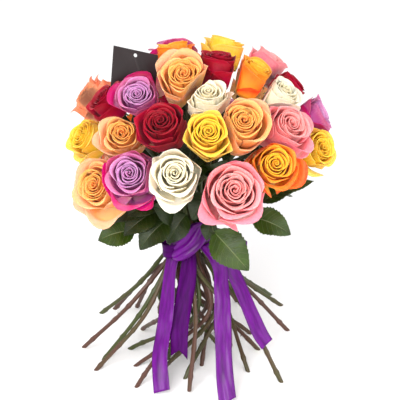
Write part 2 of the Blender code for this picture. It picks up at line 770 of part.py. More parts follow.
def make_leafy_stems(stems, materials):
    """Neighbouring stems that are pressed together at the binding are one node."""
    leaves = {id(stem): [] for stem in stems}
    for row in LEAVES:
        stem, pieces = leaf_pieces(row, stems)
        leaves[id(stem)] += pieces
    made = []
    for ring, bunches in enumerate(BUNCHES):
        if ring == 0:
            continue
        start = 0
        for number, size in enumerate(bunches):
            bunch = [stem for stem in stems if stem.ring == ring and start <= stem.slot < start + size]
            if ring == 1 and number == 0:
                bunch += [stem for stem in stems if stem.ring == 0]
            start += size
            pieces = []
            for stem in bunch:
                pieces.append(stem_and_hip(stem))
                pieces += leaves[id(stem)]
            name = "leafy_stems_ring%d_bunch%d" % (ring, number + 1)
            made.append(join_solids(name, pieces, materials["stem"]))
    return made


# Twine and ribbon

def turned_ring(name, outline, sides, material):
    """Closed ring turned round the binding's axis from a closed outline of (radius, height)."""
    vertices = []
    count = len(outline)
    for side in range(sides):
        angle = math.tau * side / sides
        for radius, height in outline:
            vertices.append(Vector((radius * math.cos(angle), radius * math.sin(angle), height)))
    faces = []
    for side in range(sides):
        following = (side + 1) % sides
        for index in range(count):
            a = side * count + index
            b = side * count + (index + 1) % count
            c = following * count + (index + 1) % count
            d = following * count + index
            faces.append((a, d, c, b))
    return new_object(name, vertices, faces, material)


def bunch_radius():
    """Radius of the pressed stems at the binding."""
    return TIE_RINGS[-1][1] + STEM_RADIUS


def make_twine(materials):
    middle = bunch_radius() + TWINE_RADIUS + TWINE_GAP
    outline = [(middle + TWINE_RADIUS, TIE.z), (middle, TIE.z + TWINE_HALF_HEIGHT),
               (middle - TWINE_RADIUS, TIE.z), (middle, TIE.z - TWINE_HALF_HEIGHT)]
    return turned_ring("binding_twine", outline, TWINE_SIDES, materials["twine"])


def stems_reach(stems, height, bearing=None, spread=30):
    """How far from the axis the stems' outsides reach at a height, round one bearing or all round."""
    reach = bunch_radius()
    for stem in stems:
        for a, b in zip(stem.path, stem.path[1:]):
            if a.z <= height <= b.z:
                place = a.lerp(b, (height - a.z) / (b.z - a.z))
                round_to = math.degrees(math.atan2(place.y, place.x))
                if bearing is None or abs(wrapped(round_to - bearing)) < spread:
                    reach = max(reach, math.hypot(place.x, place.y) + STEM_RADIUS)
    return reach


def wrap_radius(stems, rise):
    """Inner radius of the ribbon wrap at a rise above the binding: it clears twine and splaying stems."""
    over_twine = bunch_radius() + 2 * TWINE_RADIUS + WRAP_OVER_TWINE
    return max(over_twine, stems_reach(stems, TIE.z + rise) + WRAP_OVER_STEMS)


def make_wrap(stems, materials):
    steps = [WRAP_HALF_HEIGHT * share for share in (-1, 0, 1)]
    inner = [(wrap_radius(stems, step), TIE.z + step) for step in steps]
    outer = [(radius + RIBBON_THICKNESS, height) for radius, height in inner]
    return turned_ring("ribbon_wrap", outer + inner[::-1], WRAP_SIDES, materials["ribbon"])


def draped(stems, places, stand_off, start_radius):
    """Centres of a ribbon that leaves the wrap's lower edge and hangs over the splayed stems."""
    radius = start_radius
    centres = []
    for index, (bearing, height) in enumerate(places):
        if index:
            reach = stems_reach(stems, height, bearing) + stand_off
            radius = max(radius + TAIL_STEP_OUT, reach)
        centres.append(heading(bearing, 0) * radius + Vector((0, 0, height)))
    return centres


def strip(centres, sideways):
    """A length of ribbon: a thin closed band along its centre points. Each sideways vector reaches from
    the middle of the band to its edge."""
    points = []
    for centre, side in zip(centres, sideways):
        points += [centre - side, centre + side]
    faces = []
    count = len(centres)
    for index in range(count - 1):
        a = 2 * index
        faces += [(a, a + 1, a + 3), (a, a + 3, a + 2)]
    rim = (0,) + tuple(range(1, 2 * count, 2)) + tuple(range(2 * count - 2, 0, -2))
    return thick_sheet(points, faces, rim, RIBBON_THICKNESS)


def make_tails(stems, materials):
    made = []
    top = TIE.z - WRAP_HALF_HEIGHT - RIBBON_GAP - RIBBON_THICKNESS / 2
    wrap_edge = wrap_radius(stems, -WRAP_HALF_HEIGHT) + RIBBON_THICKNESS / 2
    for name, layer, stand_off, rows in TAILS:
        places = [(bearing, height * MM if height else top) for bearing, height, _, _ in rows]
        centres = draped(stems, places, stand_off * MM, wrap_edge + layer * MM)
        sideways = []
        for _, _, facing, share in rows:
            sideways.append(heading(facing + 90, 0) * (RIBBON_WIDTH / 2 * share))
        made.append(new_object(name, *strip(centres, sideways), materials["ribbon"]))
    return made


def make_knot(stems, materials):
    """The folded knot that slants over the front of the wrap, and the loop at its lower left."""
    wrap_front = wrap_radius(stems, WRAP_HALF_HEIGHT) + RIBBON_THICKNESS + RIBBON_GAP
    centres = []
    for bearing, rise, high, deep in KNOT_SECTIONS:
        lowest = TIE.z + (rise - high) * MM
        back = max(wrap_front, stems_reach(stems, lowest) + KNOT_OVER_STEMS)
        centres.append(heading(bearing, 0) * (back + deep * MM) + Vector((0, 0, TIE.z + rise * MM)))
    vertices = []
    for index, (bearing, _, high, deep) in enumerate(KNOT_SECTIONS):
        before = centres[max(index - 1, 0)]
        after = centres[min(index + 1, len(centres) - 1)]
        out = heading(bearing, 0)
        upward = (after - before).cross(out).normalized()
        for side in range(KNOT_SIDES):
            angle = math.tau * (side + 0.5) / KNOT_SIDES
            vertices.append(centres[index] + out * (deep * MM * math.cos(angle))
                            + upward * (high * MM * math.sin(angle)))
    last = (len(centres) - 1) * KNOT_SIDES
    faces = [tuple(reversed(range(KNOT_SIDES)))]
    for start in range(0, last, KNOT_SIDES):
        faces += band(start, start + KNOT_SIDES, KNOT_SIDES)
    faces.append(tuple(range(last, last + KNOT_SIDES)))
    loop = [Vector((x * MM, y * MM, TIE.z + rise * MM)) for x, y, rise in LOOP_POINTS]
    sideways = [heading(LOOP_LEAN, 90 - LOOP_LEAN_ANGLE) * (RIBBON_WIDTH / 2) for _ in loop]
    return join_solids("ribbon_knot", [(vertices, faces), strip(loop, sideways)], materials["ribbon"])


def make_short_end(stems, materials):
    """Short cut end that points out to the right behind the hanging leaf."""
    wrap_side = wrap_radius(stems, WRAP_HALF_HEIGHT / 2) + RIBBON_THICKNESS + RIBBON_GAP
    centres = []
    sideways = []
    for reach, y, rise, tip_back in SHORT_END:
        centres.append(Vector((wrap_side + reach * MM, y * MM, TIE.z + rise * MM)))
        sideways.append(heading(SHORT_END_FACING, tip_back) * (RIBBON_WIDTH / 2))
    return new_object("ribbon_short_end", *strip(centres, sideways), materials["ribbon"])


# Gift card

def card_matrix():
    """Local X runs along the card's top edge, local Y up the card, local Z out of its face."""
    turn = Matrix.Rotation(math.radians(CARD_TURN), 4, "Z")
    lean = Matrix.Rotation(math.radians(90 + CARD_LEAN), 4, "X")
    roll = Matrix.Rotation(math.radians(-CARD_ROLL), 4, "Z")
    return Matrix.Translation(CARD_TOP) @ turn @ lean @ roll


def card_middle(matrix):
    return matrix @ Vector((0, -CARD_HEIGHT * CARD_MIDDLE, 0))


def make_card(materials):
    """Flat card with a punched hole near its top edge. Each corner fans out to a quarter of the hole."""
    matrix = card_matrix()
    half = Vector((0, 0, CARD_THICKNESS / 2))
    side = CARD_WIDTH / 2
    points = [Vector((side, 0, 0)), Vector((-side, 0, 0)),
              Vector((-side, -CARD_HEIGHT, 0)), Vector((side, -CARD_HEIGHT, 0))]
    corners = len(points)
    for index in range(CARD_HOLE_SIDES):
        angle = math.tau * index / CARD_HOLE_SIDES
        on_rim = Vector((math.cos(angle), math.sin(angle), 0)) * CARD_HOLE_RADIUS
        points.append(on_rim - Vector((0, CARD_HOLE_DROP, 0)))
    vertices = [matrix @ (point + half) for point in points]
    vertices += [matrix @ (point - half) for point in points]
    quarter = CARD_HOLE_SIDES // corners
    front = []
    for corner in range(corners):
        for step in range(quarter):
            index = corner * quarter + step
            rim = corners + index
            following = corners + (index + 1) % CARD_HOLE_SIDES
            front.append((corner, following, rim))
        front.append((corner, (corner + 1) % corners, following))
    total = len(points)
    faces = front + [tuple(index + total for index in reversed(face)) for face in front]
    for a in range(corners):
        b = (a + 1) % corners
        faces.append((b, a, a + total, b + total))
    for index in range(CARD_HOLE_SIDES):
        a = corners + index
        b = corners + (index + 1) % CARD_HOLE_SIDES
        faces.append((a, b, b + total, a + total))
    return new_object("gift_card", vertices, faces, materials["card"])


def stand_on_origin(things):
    """Move everything so that the middle of the bounding box's underside is the origin."""
    corners = np.array([tuple(vertex.co) for thing in things for vertex in thing.data.vertices])
    low = corners.min(axis=0)
    high = corners.max(axis=0)
    shift = Matrix.Translation((-(low[0] + high[0]) / 2, -(low[1] + high[1]) / 2, -low[2]))
    for thing in things:
        thing.data.transform(shift)


def build():
    """The whole bouquet. Returns its roses, its stems and its objects."""
    for thing in list(bpy.data.objects):
        bpy.data.objects.remove(thing)
    materials = {name: new_material("petals_" + name, colour, 0.6) for name, colour in PETAL_COLOURS.items()}
    materials["stem"] = new_material("rose_green", (0.07, 0.13, 0.04), 0.5)
    materials["twine"] = new_material("twine", (0.45, 0.33, 0.18), 0.9)
    materials["ribbon"] = new_material("purple_satin", (0.22, 0.02, 0.40), 0.35)
    materials["card"] = new_material("black_card", (0.015, 0.012, 0.015), 0.55)
    roses = [Rose(number, row) for number, row in enumerate(ROSES)]
    set_walls(roses, card_matrix())
    things = [make_bloom(rose, materials) for rose in roses]
    stems = plan_stems(roses)
    paths = press_apart(first_paths(stems))
    for stem, path in zip(stems, paths):
        stem.path = [Vector(point) for point in path]
    things += make_leafy_stems(stems, materials)
    things.append(make_twine(materials))
    things.append(make_wrap(stems, materials))
    things.append(make_knot(stems, materials))
    things += make_tails(stems, materials)
    things.append(make_short_end(stems, materials))
    things.append(make_card(materials))
    stand_on_origin(things)
    return roses, stems, things


roses, stems, things = build()
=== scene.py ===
"""Hand-tied bouquet of garden roses: the looks of its blooms, stems, leaves, satin ribbon and card.

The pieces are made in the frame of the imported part. Each stands for one of its nodes, but for the ribbon's
loop, which the solids have in one with the knot. The roses' places, the stems' paths and the ribbon's route
follow from the same named sizes as the solids. Units are metres, +Z up, the ground is z = 0.
"""
import math
import random

import bpy
import numpy as np
from mathutils import Matrix, Vector


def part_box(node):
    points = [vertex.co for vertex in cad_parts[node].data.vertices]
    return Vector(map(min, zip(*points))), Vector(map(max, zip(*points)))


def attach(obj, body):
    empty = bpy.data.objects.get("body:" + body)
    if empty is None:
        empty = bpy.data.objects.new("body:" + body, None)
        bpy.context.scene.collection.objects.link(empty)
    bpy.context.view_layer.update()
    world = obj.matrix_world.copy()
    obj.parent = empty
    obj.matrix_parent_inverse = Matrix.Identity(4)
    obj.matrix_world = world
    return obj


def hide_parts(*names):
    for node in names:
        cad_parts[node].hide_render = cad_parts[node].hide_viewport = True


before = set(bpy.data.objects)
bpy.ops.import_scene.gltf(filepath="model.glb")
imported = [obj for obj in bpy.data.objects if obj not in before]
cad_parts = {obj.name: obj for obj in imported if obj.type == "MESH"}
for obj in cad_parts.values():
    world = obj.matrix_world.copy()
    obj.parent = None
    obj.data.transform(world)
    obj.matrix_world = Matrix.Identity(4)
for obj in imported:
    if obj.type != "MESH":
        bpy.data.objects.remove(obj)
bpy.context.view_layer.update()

bl_info = {
    "name": "Rose Bouquet",
    "version": (1, 0, 0),
    "blender": (4, 5, 0),
    "location": "3D View > Sidebar > Bouquet",
    "description": "Makes a hand-tied bouquet of roses with a satin ribbon and a card",
    "category": "Add Mesh",
}

MM = 0.001
# Every random draw is seeded from this number.
SEED = 12

# The dome of blooms and the binding point of the stems.
DOME_CENTRE = Vector((12 * MM, 0, 295 * MM))
DOME_RADIUS = 158 * MM
TIE = Vector((0, 0, 203 * MM))

# One row for each rose: name, colour, bearing and height of its place on the dome (degrees, seen from
# the dome's centre), rise above the dome (mm), bearing and height of the way it faces, width (mm),
# number of petals, and how far its outer petals have opened.
ROSES = (
    ("lilac_upper_left", "lilac", -141, 51, 9, -100, 50, 70, 24, 0.85),
    ("coral_left", "coral", 168, 31, 20, 170, 36, 74, 21, 0.75),
    ("red_left", "red", -172, 40, 8, -170, 48, 66, 21, 0.7),
    ("peach_top", "peach", -109, 67, 8, -98, 50, 80, 26, 1.0),
    ("sunset_top", "sunset", 140, 73, 2, 115, 72, 74, 21, 0.8),
    ("lilac_top", "lilac", 118, 60, 8, 118, 57, 72, 19, 0.8),
    ("red_front", "red", -114, 42, 2, -104, 50, 76, 24, 0.8),
    ("white_top", "white", -84, 59, 0, -85, 64, 70, 22, 0.75),
    ("yellow_top", "yellow", 62, 66, 9, 52, 66, 70, 21, 0.8),
    ("red_top", "red", -50, 77, 3, 60, 82, 76, 22, 1.0),
    ("sunset_upper_right", "sunset", -24, 63, 5, 0, 60, 76, 22, 1.0),
    ("pink_top_right", "pink", 30, 52, 12, 28, 50, 72, 21, 0.9),
    ("red_right", "red", 10, 42, 9, 12, 40, 66, 19, 0.7),
    ("white_right", "white", -20, 48, 7, -20, 54, 70, 22, 0.8),
    ("lilac_right", "lilac", 2, 26, 12, 2, 26, 76, 21, 0.85),
    ("peach_right", "peach", -64, 42, 4, -82, 46, 80, 26, 0.95),
    ("pink_right", "pink", -35, 34, 2, -48, 44, 82, 24, 0.95),
    ("yellow_left", "yellow", -171, 20, 8, -152, 34, 68, 22, 0.85),
    ("peach_left", "peach", -140, 33, 0, -98, 42, 66, 22, 0.85),
    ("peach_lower_left", "peach", -144, 6, 3, -126, 30, 80, 26, 0.95),
    ("lilac_lower_left", "lilac", -124, 17, 6, -104, 37, 78, 24, 0.95),
    ("white_lower", "white", -102, 21, 8, -92, 34, 76, 26, 0.85),
    ("yellow_centre", "yellow", -86, 39, 8, -88, 42, 74, 26, 0.9),
    ("sunset_right", "sunset", -52, 21, 5, -80, 34, 74, 24, 0.95),
    ("yellow_right", "yellow", -14, 16, 8, -42, 30, 70, 22, 0.85),
    ("pink_lower", "pink", -76, 13, 12, -84, 36, 90, 27, 0.6),
    ("white_back", "white", 88, 37, 2, 88, 46, 70, 19, 0.85),
    ("peach_back_right", "peach", 56, 28, 1, 56, 38, 70, 19, 0.9),
    ("pink_back_left", "pink", 130, 30, 1, 132, 40, 70, 19, 0.9),
    ("yellow_back_right", "yellow", 30, 11, 1, 30, 26, 68, 19, 0.85),
    ("red_back", "red", 104, 13, 1, 104, 26, 70, 19, 0.8),
    ("lilac_back", "lilac", 76, 6, 1, 76, 24, 70, 19, 0.9),
    ("sunset_back_left", "sunset", 130, 2, 0, 130, 20, 68, 19, 0.85),
    ("coral_back_left", "coral", 157, 2, 0, 160, 20, 68, 19, 0.85),
    ("pink_back_right", "pink", 52, -6, 0, 50, 16, 66, 19, 0.9),
)
# A bloom's middle lies this far above its base. Its petals keep a gap from its neighbours and from the card,
# and bend back softly over the last millimetres. Only what is within reach counts.
MIDDLE_HEIGHT = 25 * MM
BLOOM_GAP = 0.7 * MM
PETAL_SOFTNESS = 7 * MM
NEIGHBOUR_REACH = 95 * MM
CARD_GAP = 0.4 * MM
CARD_SOFTNESS = 6.0 * MM
CARD_NEIGHBOUR_REACH = 75 * MM
WALL_ROUNDS = 4

# Petals. A petal's layer runs from 0 for the innermost to 1 for the outermost. Up to CORE_SHARE they make a
# cup whose rims stand close together, then they open round it and roll back, and from GUARD_START on they
# hang open. Each stands a golden angle on from the last, give or take a little (radians).
GOLDEN_ANGLE = 137.5
BEARING_STRAY = 0.12
LAYER_CURVE = 1.1
CORE_SHARE = 0.56
GUARD_START = 0.82
FULLNESS = 1.12
# A petal's points, which crowd towards its rim.
PETAL_COLUMNS = 14
PETAL_ROWS = 12
RIM_CROWDING = 1.5
# Shares of the bloom's width. Radius: at the root, of the rim in the heart, what the cup adds to that, what
# the outer petals add (closed, and more when open) and what the outermost add. Height: of the rim in the
# heart, and how far it sinks in the cup, in the outer and in the outermost petals.
ROOT_RADIUS = 0.02
HEART_RADIUS = 0.012
CUP_RADIUS = 0.205
OUTER_RADIUS = (0.10, 0.17)
GUARD_RADIUS = 0.05
HEART_HEIGHT = 0.51
CUP_DROP = 0.02
OUTER_DROP = 0.22
GUARD_DROP = 0.10
# The wall between root and rim: the belly's width (share of the rim's, and what the outer petals add) and
# drop, and the shoulder's width (share of the rim's, and what the outer petals take off) and height.
BELLY_WIDTH = (1.1, 0.03)
BELLY_DROP = 0.02
SHOULDER_WIDTH = (1.14, -0.26)
SHOULDER_HEIGHT = 0.6
# The lip: where it starts, then its roll (degrees) and length in the heart and what cup and outer petals
# add to them.
LIP_START = 0.80
LIP_ROLL = (70, 25, 40)
LIP_LENGTH = (0.03, 0.03, 0.09)
# The angle that a petal spans round the bloom (degrees), how pointed its rim is, how far its sides curl in
# and how far it laps over the next one. Pairs are a size in the heart and what the outermost petal adds.
PETAL_SPAN = (112, -54)
RIM_POINT = (0.04, 0.18)
OUTER_POINT = 0.08
GUARD_POINT = 0.08
SIDE_CURL = (0.10, 0.04)
OVERLAP = (0.016, 0.02)
# The share of its span that a petal has at its root, and what it gains further up.
PETAL_NARROWNESS = (0.72, 0.28)
# The flanks of the outer petals spread and sink, and the rims wave.
FLANK_START = 0.4
FLANK_SPREAD = 0.09
FLANK_DROP = 0.05
RIM_WAVE = (0.003, 0.026)
# How far petals differ: tilt of the rim, openness, width, height and drift to a side.
RIM_TILT = 0.04
OPENNESS_STRAY = (0.7, 1.25)
WIDTH_STRAY = (0.95, 1.05)
HEIGHT_STRAY = (0.95, 1.045)
DRIFT = (0.006, 0.016)

# Stems: half their thickness, the gap between them, how near they are pressed inside a bunch at the binding,
# the rings of stems there from the middle out (number, radius), and the numbers of stems in their bunches.
STEM_RADIUS = 3.1 * MM
STEM_GAP = 0.35 * MM
PRESSED = 0.66
TIE_RINGS = ((1, 2.6 * MM), (6, 6.6 * MM), (12, 14.8 * MM), (16, 22.2 * MM))
BUNCHES = ((1,), (3, 3), (3, 3, 3, 3), (3, 3, 3, 3, 2, 2))
# How far a stem turns round the axis from foot to binding, and again from there to its bloom (degrees).
SPIRAL = -80
# The share of a foot's stray from the spiral that is bent out at the knee, the straight length under the
# binding, and the handles and points of the bow above it (shares).
FOOT_BEND = 0.33
SHANK = 38 * MM
BOW_HANDLE = 0.30
BOW_SHARES = (0.33, 0.7)
# Which point of a stem's path lies at the binding.
WAIST_POINT = 3
# Easing the stems out of one another: rounds, step, and how many gaps are left between them.
EASE_ROUNDS = 400
EASE_STEP = 1.2
EASE_GAPS = 1.3
# The centre stem's foot, as a share of its neighbour's distance from the axis.
CENTRE_FOOT = 0.4
# Feet, ring by ring: bearing, distance from the axis and height of the cut (mm).
FEET = (
    ((0, 0, 0),),
    ((-137, 50, 0), (-75, 52, 0), (-20, 50, 0), (40, 54, 0), (95, 52, 0), (165, 54, 0)),
    ((-148, 98, 0), (-122, 92, 3), (-97, 84, 0), (-66, 100, 0), (-39, 104, 0), (-8, 98, 4),
     (22, 96, 0), (52, 98, 0), (85, 92, 0), (118, 96, 0), (150, 90, 2), (-176, 94, 0)),
    ((-175, 163, 8), (-165, 136, 0), (-156, 154, 0), (-127, 132, 0), (-92, 122, 5), (-74, 154, 0),
     (-36, 158, 0), (8, 145, 16), (25, 150, 34), (40, 158, 30), (62, 150, 0), (86, 146, 8),
     (108, 152, 0), (128, 146, 0), (144, 152, 12), (158, 152, 24)),
)
# Hip: distance below the bloom and radius, from the stem up.
HIP_LENGTH = 14 * MM
HIP = ((10.5 * MM, 3.3 * MM), (7.5 * MM, 4.4 * MM), (4.5 * MM, 5.3 * MM), (1.8 * MM, 6.0 * MM),
       (0.2 * MM, 6.3 * MM))
# Sepals: rooted at a radius under the bloom, they reach out, drop and are cupped across.
SEPALS = 5
SEPAL_COLUMNS = 6
SEPAL_ROWS = 10
SEPAL_ROOT = 5.6 * MM
SEPAL_REACH = 19 * MM
SEPAL_DROP = 7 * MM
SEPAL_WIDTH = 7.5 * MM
SEPAL_BELOW = 0.6 * MM
SEPAL_CUP = 1.2 * MM
SEPAL_THICKNESS = 0.5 * MM
SEPAL_REACH_STRAY = (0.85, 1.15)
SEPAL_DROP_STRAY = (0.6, 1.4)
# Stem skin: spacing of its points, its slight unevenness (share, radians a metre), and its swollen nodes: how
# far up the first may be (mm), spacing, swelling, length, and the stretch under the hip that has none.
POINT_SPACING = 5 * MM
UNEVENNESS = 0.05
UNEVEN_WAVES = 55
FIRST_NODE = (10, 40)
NODE_SPACING = (30 * MM, 52 * MM)
NODE_SWELL = 0.34
NODE_LENGTH = 3.2 * MM
NODE_FREE = 20 * MM
# How brown a stem may be, how much greener it gets above the binding and browner below it, how much greener
# all are, the height over which that fades, and how near the cut a face that looks down is part of it.
BARK_TONES = (-0.1, 0.95)
BARK_FADE = 0.25
BARK_SHIFT = 0.05
FADE_HEIGHT = 120 * MM
CUT_BAND = 0.1 * MM
# Thorns: the most on a stem. They stand below the binding, a little past a node (mm), and hook to one side.
# Their tone, and the stalks', is the brownness and the fade that the bark's material reads.
THORNS = 3
THORN_LENGTH = 3.4 * MM
THORN_RADIUS = 1.5 * MM
THORN_TIP = 0.25 * MM
THORN_SIDES = 8
THORN_WAIST = 0.45
THORN_HOOK = 0.8 * MM
THORN_PAST_NODE = (6, 14)
THORN_SIZES = (0.8, 1.25)
THORN_SLANT = 0.35
THORN_SUNK = 0.8
THORN_FREE = 25 * MM
THORN_TONE = (0.9, 0.2, 0.0)

# Leaves: place of the leaf's foot and tip (mm), bearing and height of the way its face looks, width (mm).
LEAVES = (
    ((-80, -54, 226), (-131, -60, 214), -100, 50, 46),
    ((-34, -60, 246), (-72, -84, 212), -95, 55, 46),
    ((-8, -56, 252), (-34, -72, 214), -100, 45, 40),
    ((26, -50, 238), (20, -66, 216), -90, 55, 24),
    ((30, -62, 228), (78, -94, 184), -90, 28, 52),
    ((82, -44, 242), (138, -54, 220), -75, 50, 44),
    ((98, -16, 250), (170, -12, 282), -80, 70, 36),
    ((88, 26, 240), (146, 44, 232), 20, 70, 44),
    ((60, 58, 236), (104, 100, 226), 45, 65, 46),
    ((22, 76, 238), (40, 138, 228), 75, 65, 46),
    ((-24, 76, 236), (-46, 136, 222), 110, 65, 44),
    ((-62, 58, 234), (-106, 98, 226), 140, 65, 46),
    ((-88, 20, 232), (-148, 34, 230), 170, 65, 44),
    ((8, 52, 222), (4, 92, 200), 90, 50, 34),
    ((52, 20, 218), (92, 34, 198), 20, 50, 34),
    ((-50, 22, 216), (-92, 36, 196), 160, 50, 34),
)
# More leaves close under the front blooms, as the rows above.
UNDER_LEAVES = (
    ((-10, -40, 285), (-50, -62, 260), -95, 45, 38),
    ((-40, -45, 275), (-88, -66, 254), -105, 45, 42),
    ((20, -48, 280), (0, -70, 250), -90, 45, 36),
    ((-66, -40, 262), (-112, -58, 240), -110, 50, 40),
    ((50, -45, 272), (92, -66, 246), -80, 45, 40),
    ((-46, -50, 256), (-94, -74, 228), -108, 48, 42),
    ((-22, -50, 250), (-52, -80, 276), -95, 30, 40),
    ((28, -58, 318), (46, -104, 352), -80, 20, 40),
)
# These leaves of the first list lie in the blooms' shade too. Shaded leaves have this share of the colour.
SHADED_LEAVES = (1, 2, 3)
UNDER_LEAF_SHADE = 0.45
# Small leaves inside the dome: how many a stem has, the stretch where they stand (shares of the way from the
# binding to the bloom), length, width, how steeply they stand off (degrees) and by how much that and their
# length vary, how far from the dome's centre they may reach, their points, and the first one's seed number.
INNER_LEAVES = 3
INNER_LEAF_PLACES = (0.58, 0.86)
INNER_LEAF_LENGTH = 40 * MM
INNER_LEAF_WIDTH = 30 * MM
INNER_LEAF_LEAN = 38
INNER_LEAF_SWAY = 12
INNER_LEAF_STRAY = (0.8, 1.1)
INNER_LEAF_INSIDE = 128 * MM
INNER_LEAF_COLUMNS = 6
INNER_LEAF_ROWS = 18
INNER_LEAF_NUMBER = 1000
# Leaf blades: points, teeth on a side, arch and fold (shares), thickness, and how full and tapered they are.
LEAF_COLUMNS = 16
LEAF_ROWS = 44
LEAF_TEETH = 13
LEAF_ARCH = 0.10
LEAF_FOLD = 0.16
LEAF_THICKNESS = 0.45 * MM
LEAF_FULLNESS = 1.16
LEAF_TAPER = 0.28
# Teeth: depth and forward lean (shares), and how near the edge they stay (power).
TOOTH_DEPTH = 0.10
TOOTH_LEAN = 0.06
TOOTH_EDGE = 6
# Waves along the blade's sides and swells along its side veins (height, radians over the blade's length),
# and the drop of its tip.
BLADE_WAVE = 1.6 * MM
BLADE_WAVES = 11
BLADE_SWELL = 0.5 * MM
BLADE_SWELLS = 13.0
TIP_DROP = 3.0 * MM
TIP_DROP_STRAY = (0.2, 1.0)
# Side veins: how far they climb from the rib to the edge (share of the length), how they curve (power), and
# how closely they follow each other (radians over the length).
VEIN_SLANT = 0.2
VEIN_CURVE = 1.4
SIDE_VEINS = 26.0
# Stalks: radius, its shares at the stem and in the blade, how far they run into the blade, and their tone.
STALK_RADIUS = 1.0 * MM
STALK_TAPER = (1.35, 0.7)
STALK_INTO_BLADE = 0.10
STALK_SPACING = 4 * MM
STALK_TONE = (0.1, 0.0, 0.0)

# Twine: two threads laid round each other.
TWINE_RADIUS = 1.0 * MM
TWINE_TURNS = 3
TWINE_GAP = 0.4 * MM
TWINE_THREAD = 0.5 * MM
TWINE_LAY = 0.3 * MM
TWINE_TWISTS = 20
TWINE_STEPS = 60
TWINE_RISE = 2.0 * MM

# Ribbon: its width and thickness, the solids' thickness, which places it, and the gap between its pieces.
RIBBON_WIDTH = 25 * MM
RIBBON_THICKNESS = 0.35 * MM
SOLID_RIBBON = 0.8 * MM
RIBBON_GAP = 0.4 * MM
# The wrap: half its height, its room over stems and twine, points, folds, and how its edges wander.
WRAP_HALF_HEIGHT = 14 * MM
WRAP_OVER_STEMS = 1.2 * MM
WRAP_OVER_TWINE = 0.8 * MM
WRAP_COLUMNS = 12
WRAP_ROWS = 96
WRAP_FOLD = 0.35 * MM
WRAP_RIPPLE = 0.2 * MM
WRAP_WANDER = 0.5 * MM
WRAP_COVER = 0.98
# Ribbon tails: name, layer at the wrap and stand-off from the stems (mm), how creased it is, how its end is
# cut, then from the knot down the bearing, the height (mm, 0 for the wrap's lower edge), the bearing the
# band faces and its share of the full width.
TAILS = (
    ("ribbon_tail_left", 0, 4, 0.7, "slant",
     ((-137, 0, -132, 0.8), (-129, 160, -132, 0.9), (-119, 125, -130, 1), (-115, 95, -128, 1),
      (-117, 70, -124, 1), (-115, 45, -118, 1), (-111, 22, -112, 1), (-108, 3, -108, 1))),
    ("ribbon_tail_dark", 0, 4, 0.5, "notch",
     ((-95, 0, -92, 0.5), (-97, 162, -92, 0.9), (-98, 143, -92, 1), (-101, 111, -92, 1),
      (-102, 84, -94, 1), (-100, 49, -112, 1))),
    ("ribbon_tail_middle", 1.8, 8, 1.2, "slant",
     ((-58, 0, -50, 0.8), (-44, 172, -52, 0.9), (-42, 157, -56, 1), (-52, 137, -62, 1),
      (-57, 121, -66, 1), (-62, 101, -70, 1), (-66, 77, -72, 1), (-69, 54, -74, 1), (-71, 30, -76, 1),
      (-72, 3, -76, 1))),
    ("ribbon_tail_right", 0, 7, 0.6, "slant",
     ((-42, 0, -50, 0.8), (-26, 160, -46, 0.9), (-22, 141, -48, 1), (-25, 126, -50, 1),
      (-29, 109, -52, 1), (-33, 86, -54, 1), (-35, 61, -56, 1), (-34, 47, -56, 1))),
)
TAIL_STEP_OUT = 2 * MM
TAIL_COLUMNS = 14
TAIL_SPACING = 3.2 * MM
# How deep a ribbon's end is notched or slanted, and over how short a length (power).
NOTCH_DEPTH = 11 * MM
SLANT_DEPTH = 10 * MM
CUT_REACH = 6
# How far the satin lifts: in a twist, in slanting folds, in small creases, and in pleats where it is narrow.
TWIST_LIFT = 1.1 * MM
FOLD_LIFT = 0.8 * MM
CREASE_LIFT = 0.45 * MM
PLEAT_LIFT = 4.2 * MM
MOST_GATHERED = 0.6
# The satin's gloss. The notched tail and the loop take a copy of it with painted shade, darker and duller.
SATIN_GLOSS = 0.22
SHADED_SATIN_TONE = 0.5
SHADED_SATIN_GLOSS = 0.04
# Knot, from end to end: bearing, rise above the binding, half its height and half its depth (mm).
KNOT_SECTIONS = (
    (-62, 22, 8, 3.5), (-72, 16, 13, 5.5), (-83, 7, 16, 7), (-95, -3, 15, 7.5), (-107, -12, 14, 7),
    (-118, -21, 11, 5.5), (-126, -27, 6, 3),
)
KNOT_OVER_STEMS = 7 * MM
KNOT_COLUMNS = 40
KNOT_SPACING = 2.0 * MM
# The satin goes this far round the knot to each side (degrees), with this many folds a side. Their depth is
# a share of the knot's depth, of which its height takes a part.
KNOT_OPENING = 165
KNOT_FOLDS = 3.1
KNOT_PLEAT = 0.85
KNOT_PLEAT_UP = 0.4
# Loop: places from the axis and rise above the binding (mm), and the way its width leans.
LOOP_POINTS = (
    (-20, -46, -14), (-30, -47, -15), (-38, -44, -16), (-42, -38, -16), (-40, -32, -15), (-33, -30, -13),
)
LOOP_SPACING = 1.5 * MM
LOOP_LEAN = -110
LOOP_LEAN_ANGLE = 12
LOOP_CREASES = 0.4
# Short end: reach past the wrap's side, place along Y, rise (mm), and how steeply its width stands (degrees).
SHORT_END = ((-1.2, -12, -6, 84), (26, -22, -6, 60), (52, -34, -18, 45))
SHORT_END_SPACING = 2.5 * MM
SHORT_END_FACING = -60
SHORT_END_CREASES = 0.5

# Gift card: size, punched hole, rounded edge, how far down it is the point from which its neighbours are
# found (share of its height), the middle of its top edge, and how it is turned (degrees).
CARD_WIDTH = 66 * MM
CARD_HEIGHT = 88 * MM
CARD_THICKNESS = 0.8 * MM
CARD_HOLE_RADIUS = 2.6 * MM
CARD_HOLE_DROP = 7 * MM
CARD_HOLE_SIDES = 32
CARD_PUNCH = 10 * MM
CARD_EDGE = 0.15 * MM
CARD_MIDDLE = 0.6
CARD_TOP = Vector((-75 * MM, 0, 469 * MM))
CARD_TURN = -22
CARD_ROLL = 4.5
CARD_LEAN = -4

